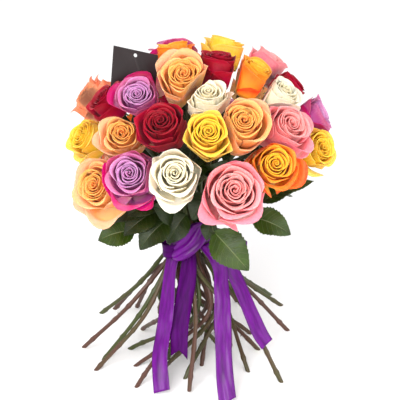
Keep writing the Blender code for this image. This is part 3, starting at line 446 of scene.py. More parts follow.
# The camera looks from the front, above. The lights' places are from the camera's target.
CAMERA_DISTANCE = 1.70
CAMERA_HEIGHT_ANGLE = 26
CAMERA_TARGET = Vector((0.011, 0, 0.246))
CAMERA_LENS = 107.7
CAMERA_SENSOR = 36
MAIN_LIGHT_PLACE = (-0.5, -1.5, 1.1)
FILL_LIGHT_PLACE = (1.1, -1.1, 0.6)
LIGHT_SIZE = 1.2
FLOOR_RADIUS = 14
FLOOR_SIDES = 96


def srgb(red, green, blue):
    """Linear colour of an 8-bit display colour."""
    shares = (red / 255, green / 255, blue / 255)
    return tuple(s / 12.92 if s <= 0.04045 else ((s + 0.055) / 1.055) ** 2.4 for s in shares)


# The yellowish root of every petal, the painted light deep in the bloom, where its shade falls: the middle
# petals' colour made paler (power), and how dark the petals' fine lines are.
PETAL_ROOT = (224, 214, 130)
PAINTED_DEPTH_LIGHT = 0.72
VEIN_DARKNESS = 0.35
# Petal colours: of the heart, the inner, the middle and the outer petals, of the inner and the outer
# petals' rims, and how strongly the rims show.
PETAL_COLOURS = {
    "lilac": ((162, 62, 130), (172, 100, 162), (170, 50, 124), (164, 4, 74),
              (196, 134, 180), (174, 0, 66), 0.85),
    "coral": ((236, 88, 46), (242, 108, 60), (242, 110, 70), (240, 100, 64),
              (250, 146, 104), (250, 134, 92), 0.5),
    "red": ((82, 0, 7), (116, 0, 13), (132, 0, 18), (138, 0, 24), (148, 2, 28), (160, 8, 34), 0.5),
    "peach": ((240, 98, 6), (255, 134, 34), (255, 146, 62), (250, 142, 100),
              (255, 178, 96), (253, 176, 138), 0.6),
    "sunset": ((255, 140, 6), (255, 162, 22), (255, 118, 14), (246, 66, 20),
               (255, 184, 50), (238, 44, 20), 0.6),
    "white": ((216, 188, 104), (243, 223, 168), (248, 232, 190), (246, 230, 192),
              (252, 240, 212), (250, 236, 208), 0.6),
    "yellow": ((240, 142, 2), (255, 174, 16), (255, 180, 28), (250, 180, 52),
               (255, 196, 58), (255, 200, 88), 0.65),
    "pink": ((240, 72, 74), (247, 98, 98), (249, 116, 120), (240, 88, 114),
             (254, 164, 158), (250, 126, 140), 0.7),
}


def colour_property(name, description, value):
    return bpy.props.FloatVectorProperty(name=name, description=description, subtype="COLOR", size=3,
                                         min=0.0, max=1.0, default=value)


def length_property(name, description, value):
    return bpy.props.FloatProperty(name=name, description=description, default=value, min=0.0,
                                   subtype="DISTANCE", unit="LENGTH", precision=5)


class BloomSettings(bpy.types.PropertyGroup):
    """Sizes of the petals."""

    petal_thickness: length_property("Petal thickness", "Thickness of every petal", 0.45 * MM)
    wave: bpy.props.FloatProperty(name="Waviness", description="How much the petals' rims wave",
                                  default=1.0, min=0.0, max=3.0)
    vein: bpy.props.FloatProperty(name="Veins", description="Strength of the fine lines in the petals",
                                  default=0.25, min=0.0, max=1.0)


class GreenSettings(bpy.types.PropertyGroup):
    """Sizes and colours of stems and leaves."""

    stem_green: colour_property("Stem green", "Colour of fresh stems", srgb(60, 68, 22))
    stem_brown: colour_property("Stem brown", "Colour of woody stems", srgb(82, 50, 37))
    cut_wood: colour_property("Cut wood", "Colour of the cut stem ends", srgb(196, 186, 140))
    leaf_green: colour_property("Leaf green", "Upper side of the leaves", srgb(44, 64, 8))
    leaf_back: colour_property("Leaf back", "Veins and underside of the leaves", srgb(118, 128, 84))
    sepal_green: colour_property("Sepal green", "Colour of the sepals and hips", srgb(110, 136, 66))


class RibbonSettings(bpy.types.PropertyGroup):
    """Size and colours of the ribbon, the twine and the card."""

    satin: colour_property("Satin", "Colour of the satin ribbon", srgb(96, 0, 120))
    sheen: colour_property("Satin sheen", "Colour of the ribbon's sheen", srgb(190, 90, 200))
    twine: colour_property("Twine", "Colour of the binding twine", srgb(176, 150, 104))
    card: colour_property("Card", "Colour of the gift card", srgb(27, 15, 16))


class StageSettings(bpy.types.PropertyGroup):
    """Floor, lights and camera."""

    floor: colour_property("Floor", "Colour of the floor", (0.93, 0.93, 0.93))
    sky: bpy.props.FloatProperty(name="Sky", description="Strength of the even light from all sides",
                                 default=1.0, min=0.0)
    key: bpy.props.FloatProperty(name="Main light", description="Power of the large light in front, above",
                                 default=42.0, min=0.0, subtype="POWER", unit="POWER")
    fill: bpy.props.FloatProperty(name="Fill light", description="Power of the light in front, at the right",
                                  default=12.0, min=0.0, subtype="POWER", unit="POWER")


# Places and directions

def heading(bearing, height):
    """Unit vector of a bearing and a height in degrees."""
    b = math.radians(bearing)
    h = math.radians(height)
    return Vector((math.cos(b) * math.cos(h), math.sin(b) * math.cos(h), math.sin(h)))


def wrapped(angle):
    """An angle in degrees, brought between -180 and 180."""
    return (angle + 180) % 360 - 180


def design_shift():
    """From the design's own frame, where the binding is on the axis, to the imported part's frame."""
    low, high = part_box("binding_twine")
    shift = (low + high) / 2 - TIE
    return np.array((shift.x, shift.y, 0.0))


SHIFT = design_shift()


def array_of(points):
    """Rows of three numbers from a list of places."""
    return np.array([tuple(p) for p in points], float)


def unit(rows):
    """Each row at length 1."""
    return rows / np.maximum(np.linalg.norm(rows, axis=-1, keepdims=True), 1e-12)


def grown(sizes, share):
    """The first size, and the second more of it where the share is 1."""
    return sizes[0] + sizes[1] * share


def at_rows(row, table):
    """The table's columns, read at rows that may lie between two of its own."""
    index = np.arange(len(table))
    return np.column_stack([np.interp(row, index, column) for column in table.T])


def smooth_line(rows, spacing):
    """A smooth curve through the rows, whose first three columns are a place, about a row each spacing."""
    rows = np.asarray(rows, float)
    span = np.linalg.norm(np.diff(rows[:, :3], axis=0), axis=1)
    slope = np.diff(rows, axis=0) / span[:, None]
    tangent = np.empty_like(rows)
    tangent[0] = slope[0]
    tangent[-1] = slope[-1]
    before, after = span[:-1, None], span[1:, None]
    tangent[1:-1] = (slope[:-1] * after + slope[1:] * before) / (before + after)
    line = []
    for i, length in enumerate(span):
        steps = max(1, round(length / spacing))
        t = (np.arange(steps) / steps)[:, None]
        line.append((2 * t ** 3 - 3 * t ** 2 + 1) * rows[i] + (t ** 3 - 2 * t ** 2 + t) * length * tangent[i]
                    + (3 * t ** 2 - 2 * t ** 3) * rows[i + 1] + (t ** 3 - t ** 2) * length * tangent[i + 1])
    line.append(rows[-1:])
    return np.concatenate(line)


def along_line(line):
    """Distance from the start to each row of a line."""
    steps = np.linalg.norm(np.diff(line[:, :3], axis=0), axis=1)
    return np.concatenate(([0.0], np.cumsum(steps)))


# Objects and meshes

def only(thing):
    """Make one object the active and the only selected one."""
    bpy.ops.object.select_all(action="DESELECT")
    thing.select_set(True)
    bpy.context.view_layer.objects.active = thing


def apply_modifier(thing, name):
    """Apply one of the object's modifiers."""
    only(thing)
    bpy.ops.object.modifier_apply(modifier=name)


def grid(name, columns, rows, copies=1):
    """A flat grid from -1 to 1 both ways, or a stack of such grids, each one unit above the last."""
    bpy.ops.object.select_all(action="DESELECT")
    bpy.ops.mesh.primitive_grid_add(x_subdivisions=columns, y_subdivisions=rows, size=2)
    thing = bpy.context.active_object
    thing.name = name
    thing.data.name = name
    if copies > 1:
        stack = thing.modifiers.new("layers", "ARRAY")
        stack.count = copies
        stack.use_relative_offset = False
        stack.use_constant_offset = True
        stack.constant_offset_displace = (0, 0, 1)
        apply_modifier(thing, "layers")
    return thing


def points_of(thing):
    """The places of an object's vertices, as rows."""
    points = np.empty(len(thing.data.vertices) * 3)
    thing.data.vertices.foreach_get("co", points)
    return points.reshape(-1, 3)


def set_points(thing, points):
    """Move an object's vertices to these places."""
    thing.data.vertices.foreach_set("co", np.asarray(points, np.float32).ravel())
    thing.data.update()


def note(thing, name, values):
    """Keep three numbers at each vertex, for the material to read."""
    layer = thing.data.attributes.new(name, "FLOAT_VECTOR", "POINT")
    layer.data.foreach_set("vector", np.asarray(values, np.float32).ravel())


def thicken(thing, thickness):
    """Give a thin surface its thickness, half to each side."""
    shell = thing.modifiers.new("thickness", "SOLIDIFY")
    shell.thickness = thickness
    shell.offset = 0.0
    apply_modifier(thing, "thickness")


def smooth(thing, angle=None):
    """Smooth shading, all over or up to an angle between faces."""
    only(thing)
    if angle is None:
        bpy.ops.object.shade_smooth()
    else:
        bpy.ops.object.shade_smooth_by_angle(angle=math.radians(angle))


def join(name, things):
    """One object of several, with its place in its mesh."""
    bpy.ops.object.select_all(action="DESELECT")
    for thing in things:
        thing.select_set(True)
    bpy.context.view_layer.objects.active = things[0]
    if len(things) > 1:
        bpy.ops.object.join()
    bpy.ops.object.transform_apply(location=True, rotation=True, scale=True)
    whole = bpy.context.active_object
    whole.name = name
    whole.data.name = name
    return whole


def tube(name, line, radii, roundness, material):
    """A tube along a line, with a radius at each of its points, made as a curve and turned into a mesh."""
    bpy.ops.object.select_all(action="DESELECT")
    curve = bpy.data.curves.new(name, "CURVE")
    curve.dimensions = "3D"
    curve.bevel_depth = 1.0
    curve.bevel_resolution = roundness
    curve.use_fill_caps = True
    spline = curve.splines.new("POLY")
    spline.points.add(len(line) - 1)
    spline.points.foreach_set("co", np.column_stack((line[:, :3], np.ones(len(line)))).ravel())
    spline.points.foreach_set("radius", np.asarray(radii, float))
    thing = bpy.data.objects.new(name, curve)
    bpy.context.scene.collection.objects.link(thing)
    only(thing)
    bpy.ops.object.convert(target="MESH")
    thing = bpy.context.active_object
    thing.data.materials.clear()
    thing.data.materials.append(material)
    return thing


def place_piece(thing, node):
    """The finished piece rides with the part and stands for its node, whose solid is hidden."""
    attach(thing, "root")
    if node:
        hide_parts(node)


# Materials

def start_material(name, roughness, **sockets):
    """A material whose shader holds these values. Returns it with its tree and its shader."""
    material = bpy.data.materials.new(name)
    material.use_nodes = True
    tree = material.node_tree
    shader = tree.nodes["Principled BSDF"]
    shader.inputs["Roughness"].default_value = roughness
    for socket, value in sockets.items():
        shader.inputs[socket.replace("_", " ")].default_value = value
    return material, tree, shader


def add_node(tree, kind, inputs=None, **values):
    """A node with these settings. Inputs are values, or sockets to link from."""
    node = tree.nodes.new(kind)
    for name, value in values.items():
        setattr(node, name, value)
    for key, value in (inputs or {}).items():
        if isinstance(value, bpy.types.NodeSocket):
            tree.links.new(value, node.inputs[key])
        else:
            node.inputs[key].default_value = value
    return node


def math_node(tree, operation, *values):
    """The result of a sum on values or sockets."""
    return add_node(tree, "ShaderNodeMath", dict(enumerate(values)), operation=operation).outputs[0]


def spread(tree, share, width):
    """A share from 0 to 1, turned into a shift of up to half the width either way."""
    return math_node(tree, "MULTIPLY_ADD", share, width, -width / 2)


def ramp(tree, share, *stops):
    """Colours or grey values along a share from 0 to 1."""
    node = tree.nodes.new("ShaderNodeValToRGB")
    tree.links.new(share, node.inputs[0])
    points = node.color_ramp.elements
    while len(points) < len(stops):
        points.new(0.5)
    for point, (place, value) in zip(points, stops):
        point.position = place
        point.color = (*value, 1) if isinstance(value, tuple) else (value, value, value, 1)
    return node.outputs[0]


def mixed(tree, share, first, second, blend="MIX"):
    """A colour between two, each a socket or a colour."""
    values = {0: share}
    for key, value in ((6, first), (7, second)):
        values[key] = value if isinstance(value, bpy.types.NodeSocket) else (*value, 1)
    node = add_node(tree, "ShaderNodeMix", values, data_type="RGBA", blend_type=blend)
    return node.outputs[2]


def multiplied(tree, colour, shade):
    """A colour darkened or lightened by a grey value."""
    return mixed(tree, 1.0, colour, shade, "MULTIPLY")


def toned(colour, tone=1.0):
    """A setting's colour, made darker or lighter."""
    return tuple(min(1.0, c * tone) for c in colour)


def mottled(tree, share, colour, dark, light):
    """A colour in soft patches between two tones of it."""
    return ramp(tree, share, (0.3, toned(colour, dark)), (0.7, toned(colour, light)))


def object_place(tree):
    """The place on the piece, for patterns that run through it."""
    return add_node(tree, "ShaderNodeTexCoord").outputs["Object"]


def read_note(tree, name):
    """The three numbers kept at each vertex, as one vector and one by one."""
    place = add_node(tree, "ShaderNodeAttribute", attribute_name=name).outputs["Vector"]
    return place, add_node(tree, "ShaderNodeSeparateXYZ", {0: place}).outputs


def stretched(tree, vector, scale):
    """A place with its X, Y and Z multiplied."""
    return add_node(tree, "ShaderNodeMapping", {"Vector": vector, "Scale": scale}).outputs[0]


def noise(tree, vector, scale, detail, roughness):
    """Cloudy noise from 0 to 1. Three scales stretch it along X, Y and Z."""
    if isinstance(scale, tuple):
        vector = stretched(tree, vector, scale)
        scale = 1.0
    return add_node(tree, "ShaderNodeTexNoise",
                    {"Vector": vector, "Scale": scale, "Detail": detail, "Roughness": roughness}).outputs[0]


def paint(tree, shader, colour):
    """Link the finished colour to the shader."""
    tree.links.new(colour, shader.inputs["Base Color"])


def bump(tree, shader, height, distance, strength):
    """Link a relief to the shader."""
    node = add_node(tree, "ShaderNodeBump", {"Height": height, "Distance": distance, "Strength": strength})
    tree.links.new(node.outputs[0], shader.inputs["Normal"])


def grained_material(name, roughness, colour, tones, scale, relief, strength, detail=3.0, coarseness=0.6,
                     **sockets):
    """One colour with a fine grain between two tones of it, which is also its relief."""
    material, tree, shader = start_material(name, roughness, **sockets)
    grain = noise(tree, object_place(tree), scale, detail, coarseness)
    paint(tree, shader, mottled(tree, grain, colour, *tones))
    bump(tree, shader, grain, relief, strength)
    return material


def petal_material(kind, settings):
    """Petals: the colour goes from the inner to the outer petals, and from the root to the rim of each."""
    heart, inner, middle, outer, inner_rim, outer_rim, rim_strength = PETAL_COLOURS[kind]
    material, tree, shader = start_material(
        "petals_" + kind, 0.5, Subsurface_Weight=0.85, Subsurface_Radius=(1.0, 0.9, 0.85),
        Subsurface_Scale=4 * MM, Sheen_Weight=0.05, Sheen_Roughness=0.4, Specular_IOR_Level=0.2)
    place, (_, up, depth) = read_note(tree, "petal")
    streaks = noise(tree, place, scale=(34.0, 2.2, 60.0), detail=3.0, roughness=0.6)
    blotches = noise(tree, object_place(tree), scale=60.0, detail=2.0, roughness=0.5)
    layer = math_node(tree, "ADD", depth, spread(tree, blotches, 0.24))
    body = ramp(tree, layer, (0.0, srgb(*heart)), (0.3, srgb(*inner)), (0.65, srgb(*middle)),
                (0.95, srgb(*outer)))
    edge = math_node(tree, "ADD", up, spread(tree, streaks, 0.2))
    rim_share = ramp(tree, edge, (0.74, 0.0), (0.84, rim_strength), (0.9, rim_strength * 0.5),
                     (1.0, rim_strength))
    rim = ramp(tree, layer, (0.55, srgb(*inner_rim)), (0.9, srgb(*outer_rim)))
    colour = mixed(tree, rim_share, body, rim)
    # Painted light: low on the petals, deep in the bloom where shade falls, the colour turns to a paler
    # middle colour.
    painted_light = tuple(min(1.0, c ** PAINTED_DEPTH_LIGHT) for c in srgb(*middle))
    colour = mixed(tree, ramp(tree, up, (0.55, 1.0), (0.8, 0.0)), colour, painted_light)
    colour = mixed(tree, ramp(tree, up, (0.0, 0.55), (0.3, 0.0)), colour, srgb(*PETAL_ROOT))
    shade = ramp(tree, streaks, (0.25, 1.0 - settings.vein * VEIN_DARKNESS), (0.75, 1.0))
    paint(tree, shader, multiplied(tree, colour, shade))
    bump(tree, shader, streaks, 0.25 * MM, settings.vein)
    return material


def stem_material(settings):
    """Bark: green to brown by the stem's own tone and in patches, with fine fibres along it."""
    material, tree, shader = start_material("stem_bark", 0.48, Specular_IOR_Level=0.4)
    place = object_place(tree)
    tone, fade = read_note(tree, "stem")[1][:2]
    patches = noise(tree, place, scale=(30.0, 30.0, 12.0), detail=4.0, roughness=0.6)
    fibres = noise(tree, place, scale=(900.0, 900.0, 160.0), detail=3.0, roughness=0.6)
    brownness = math_node(tree, "ADD", math_node(tree, "ADD", tone, spread(tree, patches, 1.1)), fade)
    colour = ramp(tree, brownness, (0.25, toned(settings.stem_green)), (0.75, toned(settings.stem_brown)))
    paint(tree, shader, multiplied(tree, colour, ramp(tree, fibres, (0.3, 0.62), (0.7, 1.12))))
    bump(tree, shader, fibres, 0.3 * MM, 0.35)
    return material


def cut_material(settings):
    """Pale wood of the cut stem ends."""
    return grained_material("cut_wood", 0.75, settings.cut_wood, tones=(0.7, 1.0), scale=1400.0,
                            relief=0.2 * MM, strength=0.4)


def leaf_material(settings):
    """Leaf blade: midrib, arched side veins and a net of fine ones, from the blade's own place."""
    material, tree, shader = start_material("leaf_blade", 0.34, Specular_IOR_Level=0.36,
                                            Subsurface_Weight=0.05, Subsurface_Scale=1 * MM)
    place, (across, up, shade) = read_note(tree, "blade")
    side = math_node(tree, "ABSOLUTE", across)
    arch = math_node(tree, "MULTIPLY", math_node(tree, "POWER", side, VEIN_CURVE), VEIN_SLANT)
    climb = math_node(tree, "SUBTRACT", up, arch)
    wave = math_node(tree, "SINE", math_node(tree, "MULTIPLY", climb, SIDE_VEINS))
    side_vein = ramp(tree, math_node(tree, "ABSOLUTE", wave), (0.0, 1.0), (0.14, 0.0))
    midrib = ramp(tree, side, (0.0, 1.0), (0.05, 0.0))
    veins = math_node(tree, "MAXIMUM", midrib, math_node(tree, "MULTIPLY", side_vein, 0.7))
    net = add_node(tree, "ShaderNodeTexVoronoi",
                   {"Vector": stretched(tree, place, (14.0, 26.0, 1.0)), "Scale": 1.0},
                   feature="DISTANCE_TO_EDGE").outputs["Distance"]
    cells = math_node(tree, "MULTIPLY", ramp(tree, net, (0.0, 0.0), (0.35, 1.0)), 0.35)
    blotches = noise(tree, object_place(tree), scale=70.0, detail=3.0, roughness=0.5)
    colour = mottled(tree, blotches, settings.leaf_green, 0.7, 1.35)
    colour = mixed(tree, math_node(tree, "MULTIPLY", veins, 0.75), colour, toned(settings.leaf_back))
    paint(tree, shader, multiplied(tree, colour, shade))
    bump(tree, shader, math_node(tree, "SUBTRACT", cells, veins), 0.5 * MM, 0.9)
    return material


def sepal_material(settings):
    """Soft green of the sepals."""
    return grained_material("sepal", 0.5, settings.sepal_green, tones=(0.6, 1.0), scale=160.0,
                            relief=0.3 * MM, strength=0.4, Subsurface_Weight=0.08, Subsurface_Scale=1 * MM)


def satin_material(settings, name, depth, gloss):
    """Satin: long floats of thread along the ribbon, a soft sheen, and selvedges."""
    # A depth under 1 is painted shade: the satin's colour made darker, and the satin a little rougher.
    material, tree, shader = start_material(
        name, 0.42 - 0.1 * depth, Sheen_Weight=0.02, Sheen_Roughness=0.35,
        Sheen_Tint=(*settings.sheen, 1), Specular_IOR_Level=gloss, Anisotropic=0.5)
    place, (_, run, across) = read_note(tree, "cloth")
    threads = noise(tree, place, scale=(2600.0, 90.0, 1.0), detail=2.0, roughness=0.5)
    ribs = math_node(tree, "SINE", math_node(tree, "MULTIPLY", run, 5200.0))
    slubs = noise(tree, place, scale=(120.0, 30.0, 1.0), detail=3.0, roughness=0.6)
    colour = mottled(tree, slubs, toned(settings.satin, depth), 0.55, 1.2)
    colour = multiplied(tree, colour, ramp(tree, threads, (0.3, 0.84), (0.7, 1.06)))
    selvedge = ramp(tree, math_node(tree, "ABSOLUTE", across), (0.9, 1.0), (0.97, 0.72))
    paint(tree, shader, multiplied(tree, colour, selvedge))
    height = math_node(tree, "MULTIPLY_ADD", ribs, 0.12, math_node(tree, "MULTIPLY", threads, 0.6))
    bump(tree, shader, height, 0.08 * MM, 0.5)
    return material


def twine_material(settings):
    """Rough fibres of the binding twine."""
    return grained_material("twine", 0.9, settings.twine, tones=(0.5, 1.0), scale=1500.0,
                            relief=0.4 * MM, strength=0.7, detail=4.0, coarseness=0.7)


def card_material(settings):
    """Black board with a faint grain."""
    return grained_material("black_card", 0.45, settings.card, tones=(0.8, 1.25), scale=900.0,
                            relief=0.05 * MM, strength=0.3, Specular_IOR_Level=0.4)


# Roses

class Rose:
    """Place, facing and size of one rose."""

    def __init__(self, number, row):
        self.name, self.colour, bearing, height, rise, face_bearing, face_height, width = row[:8]
        self.petals, self.openness = row[8:]
        self.number = number
        self.middle = DOME_CENTRE + heading(bearing, height) * (DOME_RADIUS + rise * MM)
        self.axis = heading(face_bearing, face_height)
        self.width = width * MM
        self.base = self.middle - self.axis * MIDDLE_HEIGHT
        self.walls = []


def card_matrix():
    """Local X runs along the card's top edge, local Y up the card, local Z out of its face."""
    turn = Matrix.Rotation(math.radians(CARD_TURN), 4, "Z")
    lean = Matrix.Rotation(math.radians(90 + CARD_LEAN), 4, "X")
    roll = Matrix.Rotation(math.radians(-CARD_ROLL), 4, "Z")
    return Matrix.Translation(CARD_TOP) @ turn @ lean @ roll


def set_walls(roses, card):
    """Planes that keep each bloom out of its neighbours' room and off the card."""
    card_middle = card @ Vector((0, -CARD_HEIGHT * CARD_MIDDLE, 0))
    normal = card.to_3x3() @ Vector((0, 0, 1))
    for rose in roses:
        for other in roses:
            gap = other.middle - rose.middle
            if other is rose or gap.length > NEIGHBOUR_REACH:
                continue
            share = rose.width / (rose.width + other.width)
            rose.walls.append((rose.middle, gap.normalized(), gap.length * share - BLOOM_GAP, PETAL_SOFTNESS))
        side = (rose.middle - card.translation).dot(normal)
        if (rose.middle - card_middle).length < CARD_NEIGHBOUR_REACH:
            out = -normal if side > 0 else normal
            rose.walls.append((rose.middle, out, abs(side) - CARD_THICKNESS / 2 - CARD_GAP, CARD_SOFTNESS))


def held_back(points, walls):
    """The points, bent softly back behind each wall."""
    points = np.array(points, float)
    for _ in range(WALL_ROUNDS):
        for middle, normal, limit, softness in walls:
            normal = np.array(normal)
            reach = (points - np.array(middle)) @ normal
            start = limit - softness
            over = np.maximum(reach - start, 0)
            kept = softness * (1 - np.exp(-over / softness))
            points -= (over - kept)[:, None] * normal
    return points


def all_roses():
    """Every rose, with the walls that bound it."""
    roses = [Rose(number, row) for number, row in enumerate(ROSES)]
    set_walls(roses, card_matrix())
    return roses


def share_past(start, layer):
    """How far a petal's layer lies from a start towards the outermost petal, from 0 to 1."""
    return max(0.0, (layer - start) / (1 - start))


def petal_profile(up, layer, openness):
    """Radius and height, as shares of the bloom's width, on a petal's middle line: a cup that ends in a
    lip rolled outwards. Up runs from 0 at the root to 1 at the rim, layer from the inside to the outside."""
    core = min(1.0, layer / CORE_SHARE)
    outer = share_past(CORE_SHARE, layer)
    guard = share_past(GUARD_START, layer)
    rim = (HEART_RADIUS + CUP_RADIUS * core ** 0.85 + grown(OUTER_RADIUS, openness) * outer ** 1.1
           + GUARD_RADIUS * guard * openness)
    drop = (OUTER_DROP * outer ** 1.5 + GUARD_DROP * guard) * (0.4 + 0.6 * openness)
    high = HEART_HEIGHT - CUP_DROP * core - drop
    belly = (rim * BELLY_WIDTH[0] + BELLY_WIDTH[1] * outer, -BELLY_DROP * core)
    shoulder = (rim * grown(SHOULDER_WIDTH, outer), high * SHOULDER_HEIGHT)
    corners = np.array(((ROOT_RADIUS, 0.0), belly, shoulder, (rim, high)))
    t = np.clip(up / LIP_START, 0, 1)[:, None]
    wall = (corners[0] * (1 - t) ** 3 + corners[1] * 3 * t * (1 - t) ** 2
            + corners[2] * 3 * t ** 2 * (1 - t) + corners[3] * t ** 3)
    start = math.atan2(corners[3][0] - corners[2][0], corners[3][1] - corners[2][1])
    roll = math.radians(LIP_ROLL[0] + LIP_ROLL[1] * core + LIP_ROLL[2] * outer * openness)
    length = LIP_LENGTH[0] + LIP_LENGTH[1] * core + LIP_LENGTH[2] * outer ** 0.8
    turned = start + roll * np.clip((up - LIP_START) / (1 - LIP_START), 0, 1)
    radius = wall[:, 0] + length / roll * (math.cos(start) - np.cos(turned))
    height = wall[:, 1] + length / roll * (np.sin(turned) - math.sin(start))
    return radius, height


def petal_shape(across, up, layer, bearing, width, openness, wave, draw):
    """Places on one petal. Across runs from -1 to 1, up from 0 at the root to 1 at the rim, and layer from
    0 for the innermost petal to 1 for the outermost."""
    outer = share_past(CORE_SHARE, layer)
    tilt = draw.uniform(-RIM_TILT, RIM_TILT)
    point = grown(RIM_POINT, layer) + OUTER_POINT * outer + GUARD_POINT * share_past(GUARD_START, layer)
    reach = up * (1 - point * np.abs(across) ** (2.0 - 0.4 * outer) + tilt * across)
    reach = np.minimum(reach, 1.0)
    radius, height = petal_profile(reach, layer, openness * draw.uniform(*OPENNESS_STRAY))
    radius *= width * draw.uniform(*WIDTH_STRAY) * (1 - grown(SIDE_CURL, layer) * across ** 2)
    height *= width * draw.uniform(*HEIGHT_STRAY)
    radius += width * grown(OVERLAP, layer) * across * (0.3 + 0.7 * up)
    flank = np.maximum(0.0, np.abs(across) - FLANK_START) / (1 - FLANK_START)
    radius += width * FLANK_SPREAD * outer * flank ** 2 * up ** 3
    height -= width * FLANK_DROP * outer * flank ** 2 * up ** 3
    first, second = draw.uniform(0, math.tau), draw.uniform(0, math.tau)
    swing = wave * width * grown(RIM_WAVE, layer ** 1.5)
    ripple = 0.6 * np.sin(2.2 * math.pi * across + first) + 0.4 * np.sin(4.1 * across + second)
    radius += swing * ripple * up ** 4
    height += swing * 0.8 * np.sin(3.1 * across + second) * up ** 3
    narrow = grown(PETAL_NARROWNESS, np.sin(np.minimum(1.0, up / 0.7) * math.pi / 2))
    half = math.radians(grown(PETAL_SPAN, layer ** 0.7))
    angle = bearing + half * across * narrow
    drift = width * grown(DRIFT, layer) * up
    aside, ahead = drift * draw.uniform(-1, 1), drift * draw.uniform(-1, 1)
    return np.column_stack((radius * np.cos(angle) + aside, radius * np.sin(angle) + ahead, height))


def make_bloom(rose, material, settings):
    """Petals one inside the other round the bloom's axis, from a stack of grids."""
    draw = random.Random(SEED + rose.number)
    spin = draw.uniform(0, math.tau)
    thing = grid("rose_" + rose.name, PETAL_COLUMNS, PETAL_ROWS, rose.petals)
    flat = points_of(thing)
    number = np.rint(flat[:, 2]).astype(int)
    across = flat[:, 0]
    up = 1 - ((1 - flat[:, 1]) / 2) ** RIM_CROWDING
    width = rose.width * FULLNESS
    shaped = np.empty_like(flat)
    layers = np.empty(len(flat))
    for petal in range(rose.petals):
        mine = number == petal
        layer = (petal / (rose.petals - 1)) ** LAYER_CURVE
        stray = draw.uniform(-BEARING_STRAY, BEARING_STRAY)
        bearing = spin + math.radians(GOLDEN_ANGLE * petal) + stray
        shaped[mine] = petal_shape(across[mine], up[mine], layer, bearing, width, rose.openness,
                                   settings.wave, draw)
        layers[mine] = layer
    turn = np.array(rose.axis.to_track_quat("Z", "Y").to_matrix())
    placed = held_back(shaped @ turn.T + np.array(rose.base), rose.walls)
    set_points(thing, placed + SHIFT)
    note(thing, "petal", np.column_stack((across / 2 + 0.5, up, layers)))
    thing.data.materials.append(material)
    thicken(thing, settings.petal_thickness)
    smooth(thing)
    place_piece(thing, "bloom_" + rose.name)


# Stems

class Stem:
    """One stem: its rose, its ring and slot at the binding, and its path from foot to hip."""


def ring_bearings(bunches, radius, tilt):
    """Bearings of a ring's stems: closer inside a bunch than between bunches."""
    close = 2 * STEM_RADIUS * PRESSED
    apart = 2 * STEM_RADIUS + STEM_GAP
    steps = []
    for bunch in bunches:
        steps += [close] * (bunch - 1) + [apart]
    angles = [2 * math.asin(min(1.0, step / (2 * radius * math.cos(tilt)))) for step in steps]
    spare = (math.tau - sum(angles)) / len(bunches)
    bearings = [0.0]
    for index, angle in enumerate(angles[:-1]):
        extra = spare if steps[index] == apart else 0.0
        bearings.append(bearings[-1] + angle + extra)
    return [math.degrees(b) for b in bearings]


def turned_to_match(targets, bearings):
    """The turn and the cyclic shift that bring the ring's bearings closest to the sorted targets."""
    best = None
    count = len(targets)
    for shift in range(count):
        misses = [wrapped(targets[i] - bearings[(i + shift) % count]) for i in range(count)]
        vector = sum((complex(math.cos(math.radians(m)), math.sin(math.radians(m))) for m in misses), 0j)
        turn = math.degrees(math.atan2(vector.imag, vector.real))
        cost = sum(wrapped(m - turn) ** 2 for m in misses)
        if best is None or cost < best[0]:
            best = (cost, shift, turn)
    return best[1], best[2]


def place_centre_stem(stems):
    """The centre stem leans on a stem of the ring round it and follows it down to a foot nearer the axis."""
    beside = next(stem for stem in stems if stem.ring == 1 and stem.slot == 1)
    centre = stems[0]
    centre.waist = TIE + (beside.waist - TIE).normalized() * TIE_RINGS[0][1]
    centre.foot = beside.foot * CENTRE_FOOT
    centre.knee = centre.waist.lerp(centre.foot, 0.5)
    centre.lead = (centre.waist - centre.foot).normalized()


def plan_stems(roses):
    """Give each rose a slot at the binding and a foot. The top blooms stand on the inner stems."""
    by_slope = sorted(roses, key=lambda rose: -(rose.middle - TIE).normalized().z)
    stems = []
    first = 0
    for ring, (count, radius) in enumerate(TIE_RINGS):
        heads = sorted(by_slope[first:first + count], key=lambda rose: math.atan2(rose.base.y, rose.base.x))
        first += count
        feet = sorted(FEET[ring], key=lambda foot: wrapped(foot[0]))
        tilt = math.atan2(sum(foot[1] for foot in feet) / count * MM, TIE.z)
        bearings = ring_bearings(BUNCHES[ring], radius, tilt)
        targets = [math.degrees(math.atan2(rose.base.y, rose.base.x)) - SPIRAL for rose in heads]
        shift, turn = turned_to_match(targets, bearings)
        slots = [(i + shift) % count for i in range(count)]
        waist = [wrapped(bearings[slot] + turn) for slot in slots]
        foot_shift, _ = turned_to_match([b - SPIRAL for b in waist], [foot[0] for foot in feet])
        for index, rose in enumerate(heads):
            stem = Stem()
            stem.rose = rose
            stem.ring = ring
            stem.slot = slots[index]
            stem.waist = TIE + heading(waist[index], 0) * radius
            bearing, reach, cut = feet[(index + foot_shift) % count]
            stem.foot = heading(bearing, 0) * reach * MM + Vector((0, 0, cut * MM))
            straight = heading(waist[index] - SPIRAL, 0) * reach * MM
            stem.lead = (stem.waist - straight).normalized()
            stray = wrapped(bearing - waist[index] + SPIRAL) * FOOT_BEND
            turn_out = Matrix.Rotation(math.radians(stray), 3, "Z")
            stem.knee = turn_out @ stem.waist.lerp(straight, 0.5)
            stem.hip = rose.base - rose.axis * HIP_LENGTH
            stems.append(stem)
    place_centre_stem(stems)
    return stems


